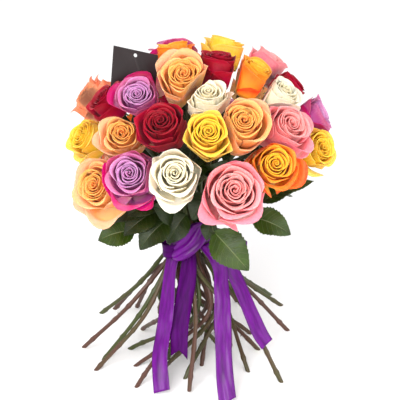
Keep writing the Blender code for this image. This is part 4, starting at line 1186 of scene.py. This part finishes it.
def first_paths(stems):
    """Foot, knee, a point under the binding, binding, two points of the upper bow, and hip."""
    paths = []
    for stem in stems:
        rise = (stem.hip - stem.waist).length
        lead = stem.waist + stem.lead * rise * BOW_HANDLE
        tail = stem.hip - stem.rose.axis * rise * BOW_HANDLE
        path = [stem.foot, stem.knee, stem.waist - stem.lead * SHANK, stem.waist]
        for t in BOW_SHARES:
            s = 1 - t
            path.append(stem.waist * s ** 3 + lead * 3 * s * s * t + tail * 3 * s * t * t + stem.hip * t ** 3)
        path.append(stem.hip)
        paths.append([tuple(point) for point in path])
    return np.array(paths)


def nearest_between(p1, q1, p2, q2, tiny=1e-16):
    """Shares along two sets of segments of their nearest points."""
    d1 = q1 - p1
    d2 = q2 - p2
    r = p1 - p2
    a = (d1 * d1).sum(-1)
    e = (d2 * d2).sum(-1)
    f = (d2 * r).sum(-1)
    c = (d1 * r).sum(-1)
    b = (d1 * d2).sum(-1)
    base = a * e - b * b
    s = np.where(base > tiny, np.clip((b * f - c * e) / np.maximum(base, tiny), 0, 1), 0.0)
    t = np.clip((b * s + f) / e, 0, 1)
    s = np.clip((b * t - c) / a, 0, 1)
    return s, t


def press_apart(paths):
    """Ease the stems out of one another, with feet, binding and hips held where they are."""
    count, points, _ = paths.shape
    legs = points - 1
    first, second = np.triu_indices(count * legs, 1)
    keep = first // legs != second // legs
    first = first[keep]
    second = second[keep]
    i, j = first // legs, second // legs
    u, v = first % legs, second % legs
    loose = np.ones(points)
    loose[[0, WAIST_POINT, points - 1]] = 0.0
    need = 2 * STEM_RADIUS + STEM_GAP * EASE_GAPS
    for _ in range(EASE_ROUNDS):
        p1, q1 = paths[i, u], paths[i, u + 1]
        p2, q2 = paths[j, v], paths[j, v + 1]
        s, t = nearest_between(p1, q1, p2, q2)
        between = (p1 + (q1 - p1) * s[:, None]) - (p2 + (q2 - p2) * t[:, None])
        distance = np.linalg.norm(between, axis=1)
        close = distance < need
        if not close.any():
            break
        away = between[close] / np.maximum(distance[close], 1e-9)[:, None]
        push = away * (need - distance[close])[:, None] * 0.5
        move = np.zeros_like(paths)
        weight = np.zeros((count, points))
        for index, leg, share, sign in ((i, u, s, 1.0), (j, v, t, -1.0)):
            for end, part in ((0, 1 - share[close]), (1, share[close])):
                np.add.at(move, (index[close], leg[close] + end), sign * push * part[:, None])
                np.add.at(weight, (index[close], leg[close] + end), part)
        scale = loose[None, :, None] / np.maximum(weight, 1.0)[:, :, None]
        paths = paths + move * scale * EASE_STEP
    return paths


def all_stems(roses):
    """Every stem, on a path that is clear of the others."""
    stems = plan_stems(roses)
    for stem, path in zip(stems, press_apart(first_paths(stems))):
        stem.path = [Vector(point) for point in path]
    return stems


def bunches_of(stems):
    """The label of each bunch and its stems, ring by ring. The centre stem is in the first bunch."""
    for ring, sizes in enumerate(BUNCHES):
        if ring == 0:
            continue
        start = 0
        for number, size in enumerate(sizes):
            bunch = [s for s in stems if s.ring == ring and start <= s.slot < start + size]
            if ring == 1 and number == 0:
                bunch += [s for s in stems if s.ring == 0]
            start += size
            yield "ring%d_bunch%d" % (ring, number + 1), bunch


def make_stem(stem, materials, draw):
    """Stem from its level cut to the hip, with swollen nodes. Returns it with its line, the distances along
    that and the places of its nodes."""
    below = stem.path[0] - (stem.path[1] - stem.path[0]).normalized() * 2 * STEM_RADIUS
    line = smooth_line(array_of([below] + stem.path), POINT_SPACING)
    distance = along_line(line)
    uneven = UNEVENNESS * np.sin(distance * UNEVEN_WAVES + draw.uniform(0, 6))
    radii = np.full(len(line), STEM_RADIUS) * (1 + uneven)
    place = draw.uniform(*FIRST_NODE) * MM
    nodes = []
    while place < distance[-1] - NODE_FREE:
        nodes.append(place)
        radii *= 1 + NODE_SWELL * np.exp(-((distance - place) / NODE_LENGTH) ** 2)
        place += draw.uniform(*NODE_SPACING)
    hip = [stem.rose.base - stem.rose.axis * drop for drop, _ in HIP]
    line = np.concatenate((line, array_of(hip)))
    distance = along_line(line)
    radii = np.concatenate((radii, [radius for _, radius in HIP]))
    bark = tube("stem", line, radii, 2, materials["stem"])
    tone = draw.uniform(*BARK_TONES)
    points = points_of(bark)
    rise = np.clip((points[:, 2] - TIE.z) / FADE_HEIGHT, -1, 1)
    note(bark, "stem", np.column_stack((np.full(len(points), tone), -BARK_FADE * rise - BARK_SHIFT,
                                        np.zeros(len(points)))))
    bark.data.materials.append(materials["cut"])
    only(bark)
    bpy.ops.object.mode_set(mode="EDIT")
    bpy.ops.mesh.select_all(action="SELECT")
    bpy.ops.mesh.bisect(plane_co=stem.path[0], plane_no=(0, 0, 1), use_fill=True, clear_inner=True)
    bpy.ops.object.mode_set(mode="OBJECT")
    for face in bark.data.polygons:
        if face.normal.z < -0.9 and abs(face.center.z - stem.path[0].z) < CUT_BAND:
            face.material_index = 1
    smooth(bark, 40)
    return bark, line, distance, nodes


def make_sepals(stem, material, draw):
    """Five pointed sepals, bent back from under the bloom."""
    rose = stem.rose
    thing = grid("sepals", SEPAL_COLUMNS, SEPAL_ROWS, SEPALS)
    flat = points_of(thing)
    number = np.rint(flat[:, 2]).astype(int)
    turn = rose.axis.to_track_quat("Z", "Y").to_matrix()
    turned = draw.uniform(0, math.tau)
    out = np.empty_like(flat)
    for sepal in range(SEPALS):
        mine = number == sepal
        across = flat[mine, 0]
        up = (flat[mine, 1] + 1) / 2
        bearing = turned + math.tau * sepal / SEPALS
        half = SEPAL_WIDTH / 2 * (1 - up) ** 0.8 * (0.65 + 0.9 * up * (1 - up))
        long = SEPAL_REACH * draw.uniform(*SEPAL_REACH_STRAY)
        reach = SEPAL_ROOT + (long - SEPAL_ROOT) * up
        drop = SEPAL_DROP * draw.uniform(*SEPAL_DROP_STRAY) * up ** 2 + SEPAL_BELOW - SEPAL_CUP * across ** 2
        x = reach * math.cos(bearing) - half * across * math.sin(bearing)
        y = reach * math.sin(bearing) + half * across * math.cos(bearing)
        out[mine] = np.column_stack((x, y, -drop))
    placed = out @ np.array(turn).T + np.array(rose.base)
    set_points(thing, held_back(placed, rose.walls))
    thing.data.materials.append(material)
    thicken(thing, SEPAL_THICKNESS)
    smooth(thing)
    return thing


def make_thorns(line, distance, nodes, draw, pattern):
    """Curved prickles on a stem, between its foot and the binding, copies of one pattern."""
    made = []
    usable = [place for place in nodes if line[np.searchsorted(distance, place), 2] < TIE.z - THORN_FREE]
    for place in draw.sample(usable, min(THORNS, len(usable))):
        place += draw.uniform(*THORN_PAST_NODE) * MM
        at = min(int(np.searchsorted(distance, place)), len(distance) - 2)
        along = Vector(line[at + 1, :3] - line[at, :3]).normalized()
        side = along.orthogonal()
        side.rotate(Matrix.Rotation(draw.uniform(0, math.tau), 3, along))
        point = (side - along * THORN_SLANT).normalized()
        thorn = pattern.copy()
        thorn.data = pattern.data.copy()
        bpy.context.scene.collection.objects.link(thorn)
        spot = Matrix.Translation(Vector(line[at, :3]) + side * STEM_RADIUS * THORN_SUNK)
        turn = point.to_track_quat("Z", "Y").to_matrix().to_4x4()
        thorn.data.transform(spot @ turn @ Matrix.Scale(draw.uniform(*THORN_SIZES), 4))
        made.append(thorn)
    return made


def thorn_pattern(material):
    """A short cone with a wide root whose tip is drawn to one side."""
    bpy.ops.object.select_all(action="DESELECT")
    bpy.ops.mesh.primitive_cone_add(vertices=THORN_SIDES, radius1=THORN_RADIUS, radius2=THORN_TIP,
                                    depth=THORN_LENGTH)
    thing = bpy.context.active_object
    bpy.ops.object.mode_set(mode="EDIT")
    bpy.ops.mesh.subdivide(number_cuts=2)
    bpy.ops.object.mode_set(mode="OBJECT")
    points = points_of(thing)
    rise = points[:, 2] / THORN_LENGTH + 0.5
    points[:, :2] *= (1 - THORN_WAIST * np.sin(math.pi * rise))[:, None]
    points[:, 0] += THORN_HOOK * rise ** 2
    set_points(thing, points)
    note(thing, "stem", np.tile(THORN_TONE, (len(points), 1)))
    thing.data.materials.append(material)
    smooth(thing)
    return thing


# Leaves

def nearest_stem(point, stems):
    """The outer stem whose path passes nearest, and the place on it."""
    best = None
    for stem in stems:
        if stem.ring < len(TIE_RINGS) - 1:
            continue
        for a, b in zip(stem.path[WAIST_POINT:], stem.path[WAIST_POINT + 1:]):
            span = b - a
            share = max(0.0, min(1.0, (point - a).dot(span) / span.length_squared))
            place = a + span * share
            if best is None or (point - place).length < best[0]:
                best = ((point - place).length, stem, place)
    return best[1], best[2]


def make_leaf(foot, tip, facing, width, number, material, shade=1.0, columns=LEAF_COLUMNS, rows=LEAF_ROWS):
    """Toothed blade, folded along its rib and waved along its sides."""
    along = (tip - foot).normalized()
    across_way = along.cross(facing).normalized()
    up_way = across_way.cross(along).normalized()
    length = (tip - foot).length
    draw = random.Random(SEED * 7 + number)
    thing = grid("leaf", columns, rows)
    flat = points_of(thing)
    across = flat[:, 0]
    off_rib = np.abs(across)
    up = (flat[:, 1] + 1) / 2
    outline = np.sin(math.pi * up ** 0.85) ** 0.78 * (1 - LEAF_TAPER * up)
    teeth = (up * LEAF_TEETH) % 1.0
    tooth = 1 - TOOTH_DEPTH * teeth * off_rib ** TOOTH_EDGE
    half = width / 2 * LEAF_FULLNESS * outline * tooth
    lean = TOOTH_LEAN * (teeth - 0.5) * off_rib ** TOOTH_EDGE * length / LEAF_TEETH
    side = across * half
    rise = length * LEAF_ARCH * np.sin(math.pi * up) + LEAF_FOLD * np.abs(side)
    phase = draw.uniform(0, math.tau)
    rise += BLADE_WAVE * np.sin(up * BLADE_WAVES + phase + np.sign(across) * 0.8) * off_rib ** 2
    swell = np.abs(np.sin((up - VEIN_SLANT * off_rib ** VEIN_CURVE) * BLADE_SWELLS))
    rise += BLADE_SWELL * swell * off_rib * (1 - off_rib)
    rise -= TIP_DROP * up ** 3 * draw.uniform(*TIP_DROP_STRAY)
    line = up * length + lean
    placed = (np.array(foot) + np.outer(line, np.array(along)) + np.outer(side, np.array(across_way))
              + np.outer(rise, np.array(up_way)))
    set_points(thing, placed)
    note(thing, "blade", np.column_stack((across, up, np.full(len(up), shade))))
    thing.data.materials.append(material)
    thicken(thing, LEAF_THICKNESS)
    smooth(thing, 50)
    return thing


def make_inner_leaves(stem, line, distance, material, draw):
    """Small leaves that stand off a stem inside the dome, under the blooms."""
    waist = float(np.interp(TIE.z, line[:, 2], distance))
    first, last = INNER_LEAF_PLACES
    made = []
    for leaf in range(INNER_LEAVES):
        share = first + (last - first) * leaf / (INNER_LEAVES - 1)
        at = int(np.searchsorted(distance, waist + (distance[-1] - waist) * share))
        foot = Vector(line[at, :3])
        along = Vector(line[at + 1, :3] - line[at - 1, :3]).normalized()
        side = along.orthogonal()
        side.rotate(Matrix.Rotation(draw.uniform(0, math.tau), 3, along))
        lean = math.radians(INNER_LEAF_LEAN + draw.uniform(-INNER_LEAF_SWAY, INNER_LEAF_SWAY))
        way = along * math.cos(lean) + side * math.sin(lean)
        tip = foot + way * INNER_LEAF_LENGTH * draw.uniform(*INNER_LEAF_STRAY)
        if (tip - DOME_CENTRE).length > INNER_LEAF_INSIDE:
            continue
        facing = (side - along * 0.4).normalized()
        number = INNER_LEAF_NUMBER + 10 * stem.rose.number + leaf
        made.append(make_leaf(foot, tip, facing, INNER_LEAF_WIDTH, number, material, UNDER_LEAF_SHADE,
                              INNER_LEAF_COLUMNS, INNER_LEAF_ROWS))
    return made


def make_stalk(foot, tip, place, material):
    """Stalk from a place on the stem through the blade's foot a short way up its rib."""
    line = smooth_line(array_of([place, foot, foot.lerp(tip, STALK_INTO_BLADE)]), STALK_SPACING)
    thing = tube("stalk", line, np.linspace(*STALK_TAPER, len(line)) * STALK_RADIUS, 1, material)
    note(thing, "stem", np.tile(STALK_TONE, (len(thing.data.vertices), 1)))
    smooth(thing)
    return thing


# Ribbon

def bunch_radius():
    """Radius of the pressed stems at the binding."""
    return TIE_RINGS[-1][1] + STEM_RADIUS


def stems_reach(stems, height, bearing=None, spread=30):
    """How far from the axis the stems' outsides reach at a height, round one bearing or all round."""
    reach = bunch_radius()
    for stem in stems:
        for a, b in zip(stem.path, stem.path[1:]):
            if a.z <= height <= b.z:
                place = a.lerp(b, (height - a.z) / (b.z - a.z))
                round_to = math.degrees(math.atan2(place.y, place.x))
                if bearing is None or abs(wrapped(round_to - bearing)) < spread:
                    reach = max(reach, math.hypot(place.x, place.y) + STEM_RADIUS)
    return reach


def wrap_radius(stems, rise):
    """Inner radius of the ribbon wrap at a rise above the binding: it clears twine and splaying stems."""
    over_twine = bunch_radius() + 2 * TWINE_RADIUS + WRAP_OVER_TWINE
    return max(over_twine, stems_reach(stems, TIE.z + rise) + WRAP_OVER_STEMS)


def ribbon_piece(name, line, sideways, material, creases, cut=None, seed=0):
    """A length of satin along a line of places, from edge to edge of the sideways vectors, which hold half
    the band's width at each place. Returns the piece and its length."""
    rows = len(line) - 1
    thing = grid(name, TAIL_COLUMNS, rows)
    flat = points_of(thing)
    across = flat[:, 0]
    row = (flat[:, 1] + 1) / 2 * rows
    distance = along_line(line)
    total = distance[-1]
    if cut == "notch":
        row = row * (1 - NOTCH_DEPTH / total * (1 - np.abs(across)) * (row / rows) ** CUT_REACH)
    if cut == "slant":
        row = row * (1 - SLANT_DEPTH / total * (across + 1) / 2 * (row / rows) ** CUT_REACH)
    centre = at_rows(row, line[:, :3])
    side = at_rows(row, sideways)
    run = np.interp(row, np.arange(rows + 1), distance)
    forward = at_rows(row, unit(np.gradient(line[:, :3], axis=0)))
    out = unit(np.cross(side, forward))
    half = np.linalg.norm(side, axis=1)
    gathered = np.clip(1 - half / (RIBBON_WIDTH / 2), 0, MOST_GATHERED)
    draw = random.Random(SEED * 3 + seed)
    p = [draw.uniform(0, math.tau) for _ in range(5)]
    lift = TWIST_LIFT * creases * np.sin(run * 62 + p[0]) * across
    lift += FOLD_LIFT * creases * np.sin(across * 3.6 + run * 31 + p[1])
    lift += CREASE_LIFT * creases * np.sin(across * 7.5 - run * 46 + p[2]) * np.sin(run * 21 + p[3])
    lift += PLEAT_LIFT * gathered * np.cos(across * math.pi * 2.5 + p[4])
    placed = centre + side * across[:, None] + out * lift[:, None]
    set_points(thing, placed + SHIFT)
    note(thing, "cloth", np.column_stack((across * RIBBON_WIDTH / 2, run, across)))
    thing.data.materials.append(material)
    thicken(thing, RIBBON_THICKNESS)
    smooth(thing)
    return thing, total


def draped(stems, places, stand_off, start_radius):
    """Centres of a ribbon that leaves the wrap's lower edge and hangs over the splayed stems."""
    radius = start_radius
    centres = []
    for index, (bearing, height) in enumerate(places):
        if index:
            reach = stems_reach(stems, height, bearing) + stand_off
            radius = max(radius + TAIL_STEP_OUT, reach)
        centres.append(heading(bearing, 0) * radius + Vector((0, 0, height)))
    return centres


# Operators

class BOUQUET_OT_blooms(bpy.types.Operator):
    """Make every rose bloom"""

    bl_idname = "bouquet.blooms"
    bl_label = "Blooms"

    def execute(self, context):
        settings = context.scene.bouquet_blooms
        materials = {kind: petal_material(kind, settings) for kind in PETAL_COLOURS}
        for rose in all_roses():
            make_bloom(rose, materials[rose.colour], settings)
        return {"FINISHED"}


class BOUQUET_OT_stems(bpy.types.Operator):
    """Make the stems with their hips, sepals, thorns and leaves, a bunch at a time"""

    bl_idname = "bouquet.stems"
    bl_label = "Stems and leaves"

    def execute(self, context):
        settings = context.scene.bouquet_greens
        materials = {"stem": stem_material(settings), "cut": cut_material(settings)}
        leaf_skin = leaf_material(settings)
        sepal_skin = sepal_material(settings)
        stems = all_stems(all_roses())
        thorn = thorn_pattern(materials["stem"])
        parts = {stem: [] for stem in stems}
        for number, stem in enumerate(stems):
            draw = random.Random(SEED * 5 + number)
            bark, line, distance, nodes = make_stem(stem, materials, draw)
            parts[stem] += [bark, make_sepals(stem, sepal_skin, draw)]
            parts[stem] += make_thorns(line, distance, nodes, draw, thorn)
            parts[stem] += make_inner_leaves(stem, line, distance, leaf_skin, draw)
        for number, (foot, tip, bearing, height, width) in enumerate(LEAVES + UNDER_LEAVES):
            foot = Vector(foot) * MM
            tip = Vector(tip) * MM
            stem, place = nearest_stem(foot, stems)
            shade = UNDER_LEAF_SHADE if number in SHADED_LEAVES or number >= len(LEAVES) else 1.0
            parts[stem].append(make_leaf(foot, tip, heading(bearing, height), width * MM, number, leaf_skin,
                                         shade))
            parts[stem].append(make_stalk(foot, tip, place, materials["stem"]))
        bpy.data.objects.remove(thorn)
        for label, bunch in bunches_of(stems):
            whole = join("stems_" + label, [part for stem in bunch for part in parts[stem]])
            whole.data.transform(Matrix.Translation(SHIFT))
            place_piece(whole, "leafy_stems_" + label)
        return {"FINISHED"}


class BOUQUET_OT_twine(bpy.types.Operator):
    """Make the binding twine under the ribbon"""

    bl_idname = "bouquet.twine"
    bl_label = "Twine"

    def execute(self, context):
        material = twine_material(context.scene.bouquet_ribbon)
        middle = bunch_radius() + TWINE_RADIUS + TWINE_GAP
        turns = np.linspace(0, TWINE_TURNS, TWINE_TURNS * TWINE_STEPS + 1)
        angle = turns * math.tau
        strands = []
        for strand in range(2):
            twist = turns * math.tau * TWINE_TWISTS + strand * math.pi
            radius = middle + TWINE_LAY * np.cos(twist)
            height = TIE.z + (turns / TWINE_TURNS - 0.5) * TWINE_RISE + TWINE_LAY * np.sin(twist)
            line = np.column_stack((radius * np.cos(angle), radius * np.sin(angle), height)) + SHIFT
            strands.append(tube("strand", line, np.full(len(line), TWINE_THREAD), 1, material))
        whole = join("binding_twine_turns", strands)
        smooth(whole)
        place_piece(whole, "binding_twine")
        return {"FINISHED"}


class BOUQUET_OT_ribbon(bpy.types.Operator):
    """Make the satin ribbon: its wrap, knot, loop, tails and short end"""

    bl_idname = "bouquet.ribbon"
    bl_label = "Ribbon"

    def execute(self, context):
        settings = context.scene.bouquet_ribbon
        satin = satin_material(settings, "purple_satin", 1.0, SATIN_GLOSS)
        # A darker, duller copy of the satin: painted shade, for the notched tail and the loop.
        shaded_satin = satin_material(settings, "purple_satin_painted_shade", SHADED_SATIN_TONE, SHADED_SATIN_GLOSS)
        stems = all_stems(all_roses())
        self.make_wrap(stems, satin)
        self.make_tails(stems, satin, shaded_satin)
        self.make_knot(stems, satin)
        self.make_loop(shaded_satin)
        self.make_short_end(stems, satin)
        return {"FINISHED"}

    def make_wrap(self, stems, satin):
        """A gathered turn of ribbon round the binding."""
        low, middle, high = (wrap_radius(stems, rise) for rise in (-WRAP_HALF_HEIGHT, 0, WRAP_HALF_HEIGHT))
        thing = grid("ribbon_wrap_turn", WRAP_COLUMNS, WRAP_ROWS)
        flat = points_of(thing)
        across = flat[:, 0]
        angle = (flat[:, 1] + 1) / 2 * math.tau
        radius = np.interp(across, (-1, 0, 1), (low, middle, high)) + SOLID_RIBBON / 2
        folds = WRAP_FOLD * np.sin(across * 9 + 2 * np.sin(angle * 3))
        radius += folds + WRAP_RIPPLE * np.sin(angle * 14 + across * 4)
        height = TIE.z + across * WRAP_HALF_HEIGHT * WRAP_COVER + WRAP_WANDER * np.sin(angle * 5)
        placed = np.column_stack((radius * np.cos(angle), radius * np.sin(angle), height))
        set_points(thing, placed + SHIFT)
        run = angle * (middle + SOLID_RIBBON / 2)
        note(thing, "cloth", np.column_stack((across * WRAP_HALF_HEIGHT, run, across)))
        only(thing)
        bpy.ops.object.mode_set(mode="EDIT")
        bpy.ops.mesh.select_all(action="SELECT")
        bpy.ops.mesh.remove_doubles(threshold=0.01 * MM)
        bpy.ops.object.mode_set(mode="OBJECT")
        thing.data.materials.append(satin)
        thicken(thing, RIBBON_THICKNESS)
        smooth(thing)
        place_piece(thing, "ribbon_wrap")

    def make_tails(self, stems, satin, shaded_satin):
        """The four tails that fall from the wrap's lower edge over the stems. The notched one takes the
        satin with painted shade."""
        top = TIE.z - WRAP_HALF_HEIGHT - RIBBON_GAP - SOLID_RIBBON / 2
        wrap_edge = wrap_radius(stems, -WRAP_HALF_HEIGHT) + SOLID_RIBBON / 2
        for number, (name, layer, stand_off, creases, cut, rows) in enumerate(TAILS):
            places = [(bearing, height * MM if height else top) for bearing, height, _, _ in rows]
            centres = draped(stems, places, stand_off * MM, wrap_edge + layer * MM)
            table = np.column_stack((array_of(centres), [row[2] for row in rows], [row[3] for row in rows]))
            line = smooth_line(table, TAIL_SPACING)
            turn = np.radians(line[:, 3] + 90)
            half = RIBBON_WIDTH / 2 * line[:, 4]
            sideways = np.column_stack((np.cos(turn) * half, np.sin(turn) * half, np.zeros(len(line))))
            # The notched tail is in painted shade.
            skin = shaded_satin if cut == "notch" else satin
            thing, total = ribbon_piece(name.replace("ribbon_", "satin_"), line, sideways, skin, creases, cut,
                                        number)
            place_piece(thing, name)

    def make_knot(self, stems, satin):
        """The folded knot that slants over the front of the wrap."""
        wrap_front = wrap_radius(stems, WRAP_HALF_HEIGHT) + SOLID_RIBBON + RIBBON_GAP
        table = []
        for bearing, rise, high, deep in KNOT_SECTIONS:
            lowest = TIE.z + (rise - high) * MM
            back = max(wrap_front, stems_reach(stems, lowest) + KNOT_OVER_STEMS)
            middle = heading(bearing, 0) * (back + deep * MM) + Vector((0, 0, TIE.z + rise * MM))
            table.append((*middle, bearing, high, deep))
        line = smooth_line(table, KNOT_SPACING)
        rows = len(line) - 1
        thing = grid("satin_knot", KNOT_COLUMNS, rows)
        flat = points_of(thing)
        across = flat[:, 0]
        row = (flat[:, 1] + 1) / 2 * rows
        share = row / rows
        section = at_rows(row, line)
        bearing = np.radians(section[:, 3])
        high = section[:, 4] * MM
        deep = section[:, 5] * MM
        out = np.column_stack((np.cos(bearing), np.sin(bearing), np.zeros(len(bearing))))
        forward = at_rows(row, unit(np.gradient(line[:, :3], axis=0)))
        upward = unit(np.cross(forward, out))
        angle = across * math.radians(KNOT_OPENING)
        fold = np.abs(np.sin(across * math.pi * KNOT_FOLDS + share * 2.2 + 0.6 * np.sin(share * 5)))
        pleat = (fold ** 0.7 - 0.6) * KNOT_PLEAT * (0.45 + 0.55 * np.sin(math.pi * share))
        placed = (section[:, :3] + out * (deep * np.cos(angle) * (1 + pleat))[:, None]
                  + upward * (high * np.sin(angle) * (1 + KNOT_PLEAT_UP * pleat))[:, None])
        distance = along_line(line)
        run = np.interp(row, np.arange(rows + 1), distance)
        set_points(thing, placed + SHIFT)
        note(thing, "cloth", np.column_stack((across * RIBBON_WIDTH / 2, run, across)))
        thing.data.materials.append(satin)
        thicken(thing, RIBBON_THICKNESS)
        smooth(thing)
        place_piece(thing, "ribbon_knot")

    def make_loop(self, shaded_satin):
        """The short loop at the knot's lower left, in the satin with painted shade."""
        places = np.array([(x * MM, y * MM, TIE.z + rise * MM) for x, y, rise in LOOP_POINTS])
        line = smooth_line(places, LOOP_SPACING)
        lean = np.array(heading(LOOP_LEAN, 90 - LOOP_LEAN_ANGLE)) * (RIBBON_WIDTH / 2)
        thing, total = ribbon_piece("satin_loop", line, np.tile(lean, (len(line), 1)), shaded_satin,
                                    LOOP_CREASES, seed=9)
        place_piece(thing, None)

    def make_short_end(self, stems, satin):
        """Short cut end that points out to the right behind the hanging leaf."""
        wrap_side = wrap_radius(stems, WRAP_HALF_HEIGHT / 2) + SOLID_RIBBON + RIBBON_GAP
        rows = [(wrap_side + reach * MM, y * MM, TIE.z + rise * MM, tip) for reach, y, rise, tip in SHORT_END]
        line = smooth_line(rows, SHORT_END_SPACING)
        sideways = array_of([heading(SHORT_END_FACING, tip) * (RIBBON_WIDTH / 2) for tip in line[:, 3]])
        thing, total = ribbon_piece("satin_short_end", line, sideways, satin, SHORT_END_CREASES, "slant", 11)
        place_piece(thing, "ribbon_short_end")


class BOUQUET_OT_card(bpy.types.Operator):
    """Make the plain gift card between the blooms"""

    bl_idname = "bouquet.card"
    bl_label = "Gift card"

    def execute(self, context):
        bpy.ops.object.select_all(action="DESELECT")
        bpy.ops.mesh.primitive_cube_add(size=1)
        card = bpy.context.active_object
        card.name = "plain_gift_card"
        card.data.transform(Matrix.Translation((0, -CARD_HEIGHT / 2, 0))
                            @ Matrix.Diagonal((CARD_WIDTH, CARD_HEIGHT, CARD_THICKNESS, 1)))
        bpy.ops.object.select_all(action="DESELECT")
        bpy.ops.mesh.primitive_cylinder_add(vertices=CARD_HOLE_SIDES, radius=CARD_HOLE_RADIUS,
                                            depth=CARD_PUNCH, location=(0, -CARD_HOLE_DROP, 0))
        punch = bpy.context.active_object
        hole = card.modifiers.new("hole", "BOOLEAN")
        hole.object = punch
        hole.operation = "DIFFERENCE"
        apply_modifier(card, "hole")
        bpy.data.objects.remove(punch)
        edge = card.modifiers.new("edge", "BEVEL")
        edge.width = CARD_EDGE
        edge.segments = 2
        edge.limit_method = "ANGLE"
        apply_modifier(card, "edge")
        card.data.transform(Matrix.Translation(SHIFT) @ card_matrix())
        card.data.materials.clear()
        card.data.materials.append(card_material(context.scene.bouquet_ribbon))
        smooth(card, 30)
        place_piece(card, "gift_card")
        return {"FINISHED"}


class BOUQUET_OT_stage(bpy.types.Operator):
    """Make the floor, the lights and the camera"""

    bl_idname = "bouquet.stage"
    bl_label = "Stage"

    def execute(self, context):
        settings = context.scene.bouquet_stage
        self.make_floor(settings)
        self.make_sky(context, settings)
        middle = CAMERA_TARGET + Vector(SHIFT)
        self.add_light("main_light", middle, MAIN_LIGHT_PLACE, settings.key)
        self.add_light("fill_light", middle, FILL_LIGHT_PLACE, settings.fill)
        self.add_camera(context, middle)
        context.scene.view_settings.view_transform = "Standard"
        return {"FINISHED"}

    def make_floor(self, settings):
        """Plain round floor, which isn't part of the bouquet."""
        bpy.ops.object.select_all(action="DESELECT")
        bpy.ops.mesh.primitive_circle_add(vertices=FLOOR_SIDES, radius=FLOOR_RADIUS, fill_type="NGON")
        floor = bpy.context.active_object
        floor.name = "floor"
        material, _, shader = start_material("pale_floor", 0.8, Specular_IOR_Level=0.1)
        shader.inputs["Base Color"].default_value = (*settings.floor, 1)
        floor.data.materials.append(material)

    def make_sky(self, context, settings):
        """Even white light from all sides."""
        world = bpy.data.worlds.new("even_sky")
        world.use_nodes = True
        sky = world.node_tree.nodes["Background"]
        sky.inputs["Color"].default_value = (1, 1, 1, 1)
        sky.inputs["Strength"].default_value = settings.sky
        context.scene.world = world

    def add_light(self, name, middle, place, power):
        """A square light that looks at the camera's target."""
        bpy.ops.object.light_add(type="AREA", location=middle + Vector(place))
        light = bpy.context.active_object
        light.name = name
        light.data.size = LIGHT_SIZE
        light.data.energy = power
        light.rotation_euler = (-Vector(place)).to_track_quat("-Z", "Y").to_euler()

    def add_camera(self, context, middle):
        """The camera, which looks down at its target."""
        angle = math.radians(CAMERA_HEIGHT_ANGLE)
        back = Vector((0, -math.cos(angle), math.sin(angle)))
        bpy.ops.object.camera_add(location=middle + back * CAMERA_DISTANCE)
        camera = bpy.context.active_object
        camera.rotation_euler = (-back).to_track_quat("-Z", "Y").to_euler()
        camera.data.lens = CAMERA_LENS
        camera.data.sensor_width = CAMERA_SENSOR
        context.scene.camera = camera


class BOUQUET_PT_panel(bpy.types.Panel):
    """Lists the bouquet's pieces and their settings"""

    bl_idname = "BOUQUET_PT_panel"
    bl_label = "Rose bouquet"
    bl_space_type = "VIEW_3D"
    bl_region_type = "UI"
    bl_category = "Bouquet"

    def draw(self, context):
        scene = context.scene
        for operator, settings in ((BOUQUET_OT_blooms, scene.bouquet_blooms),
                                   (BOUQUET_OT_stems, scene.bouquet_greens),
                                   (BOUQUET_OT_twine, None),
                                   (BOUQUET_OT_ribbon, scene.bouquet_ribbon),
                                   (BOUQUET_OT_card, None),
                                   (BOUQUET_OT_stage, scene.bouquet_stage)):
            box = self.layout.box()
            box.operator(operator.bl_idname)
            if settings:
                for name in settings.__annotations__:
                    box.prop(settings, name)


SETTINGS = (("bouquet_blooms", BloomSettings), ("bouquet_greens", GreenSettings),
            ("bouquet_ribbon", RibbonSettings), ("bouquet_stage", StageSettings))
OPERATORS = (BOUQUET_OT_blooms, BOUQUET_OT_stems, BOUQUET_OT_twine, BOUQUET_OT_ribbon, BOUQUET_OT_card,
             BOUQUET_OT_stage)


def register():
    for _, group in SETTINGS:
        bpy.utils.register_class(group)
    for cls in (*OPERATORS, BOUQUET_PT_panel):
        bpy.utils.register_class(cls)
    for name, group in SETTINGS:
        setattr(bpy.types.Scene, name, bpy.props.PointerProperty(type=group))


def unregister():
    for name, group in SETTINGS:
        delattr(bpy.types.Scene, name)
        bpy.utils.unregister_class(group)
    for cls in (BOUQUET_PT_panel, *reversed(OPERATORS)):
        bpy.utils.unregister_class(cls)


def main():
    """Make the whole bouquet."""
    register()
    bpy.ops.bouquet.blooms()
    bpy.ops.bouquet.stems()
    bpy.ops.bouquet.twine()
    bpy.ops.bouquet.ribbon()
    bpy.ops.bouquet.card()
    bpy.ops.bouquet.stage()


if __name__ == "__main__":
    main()
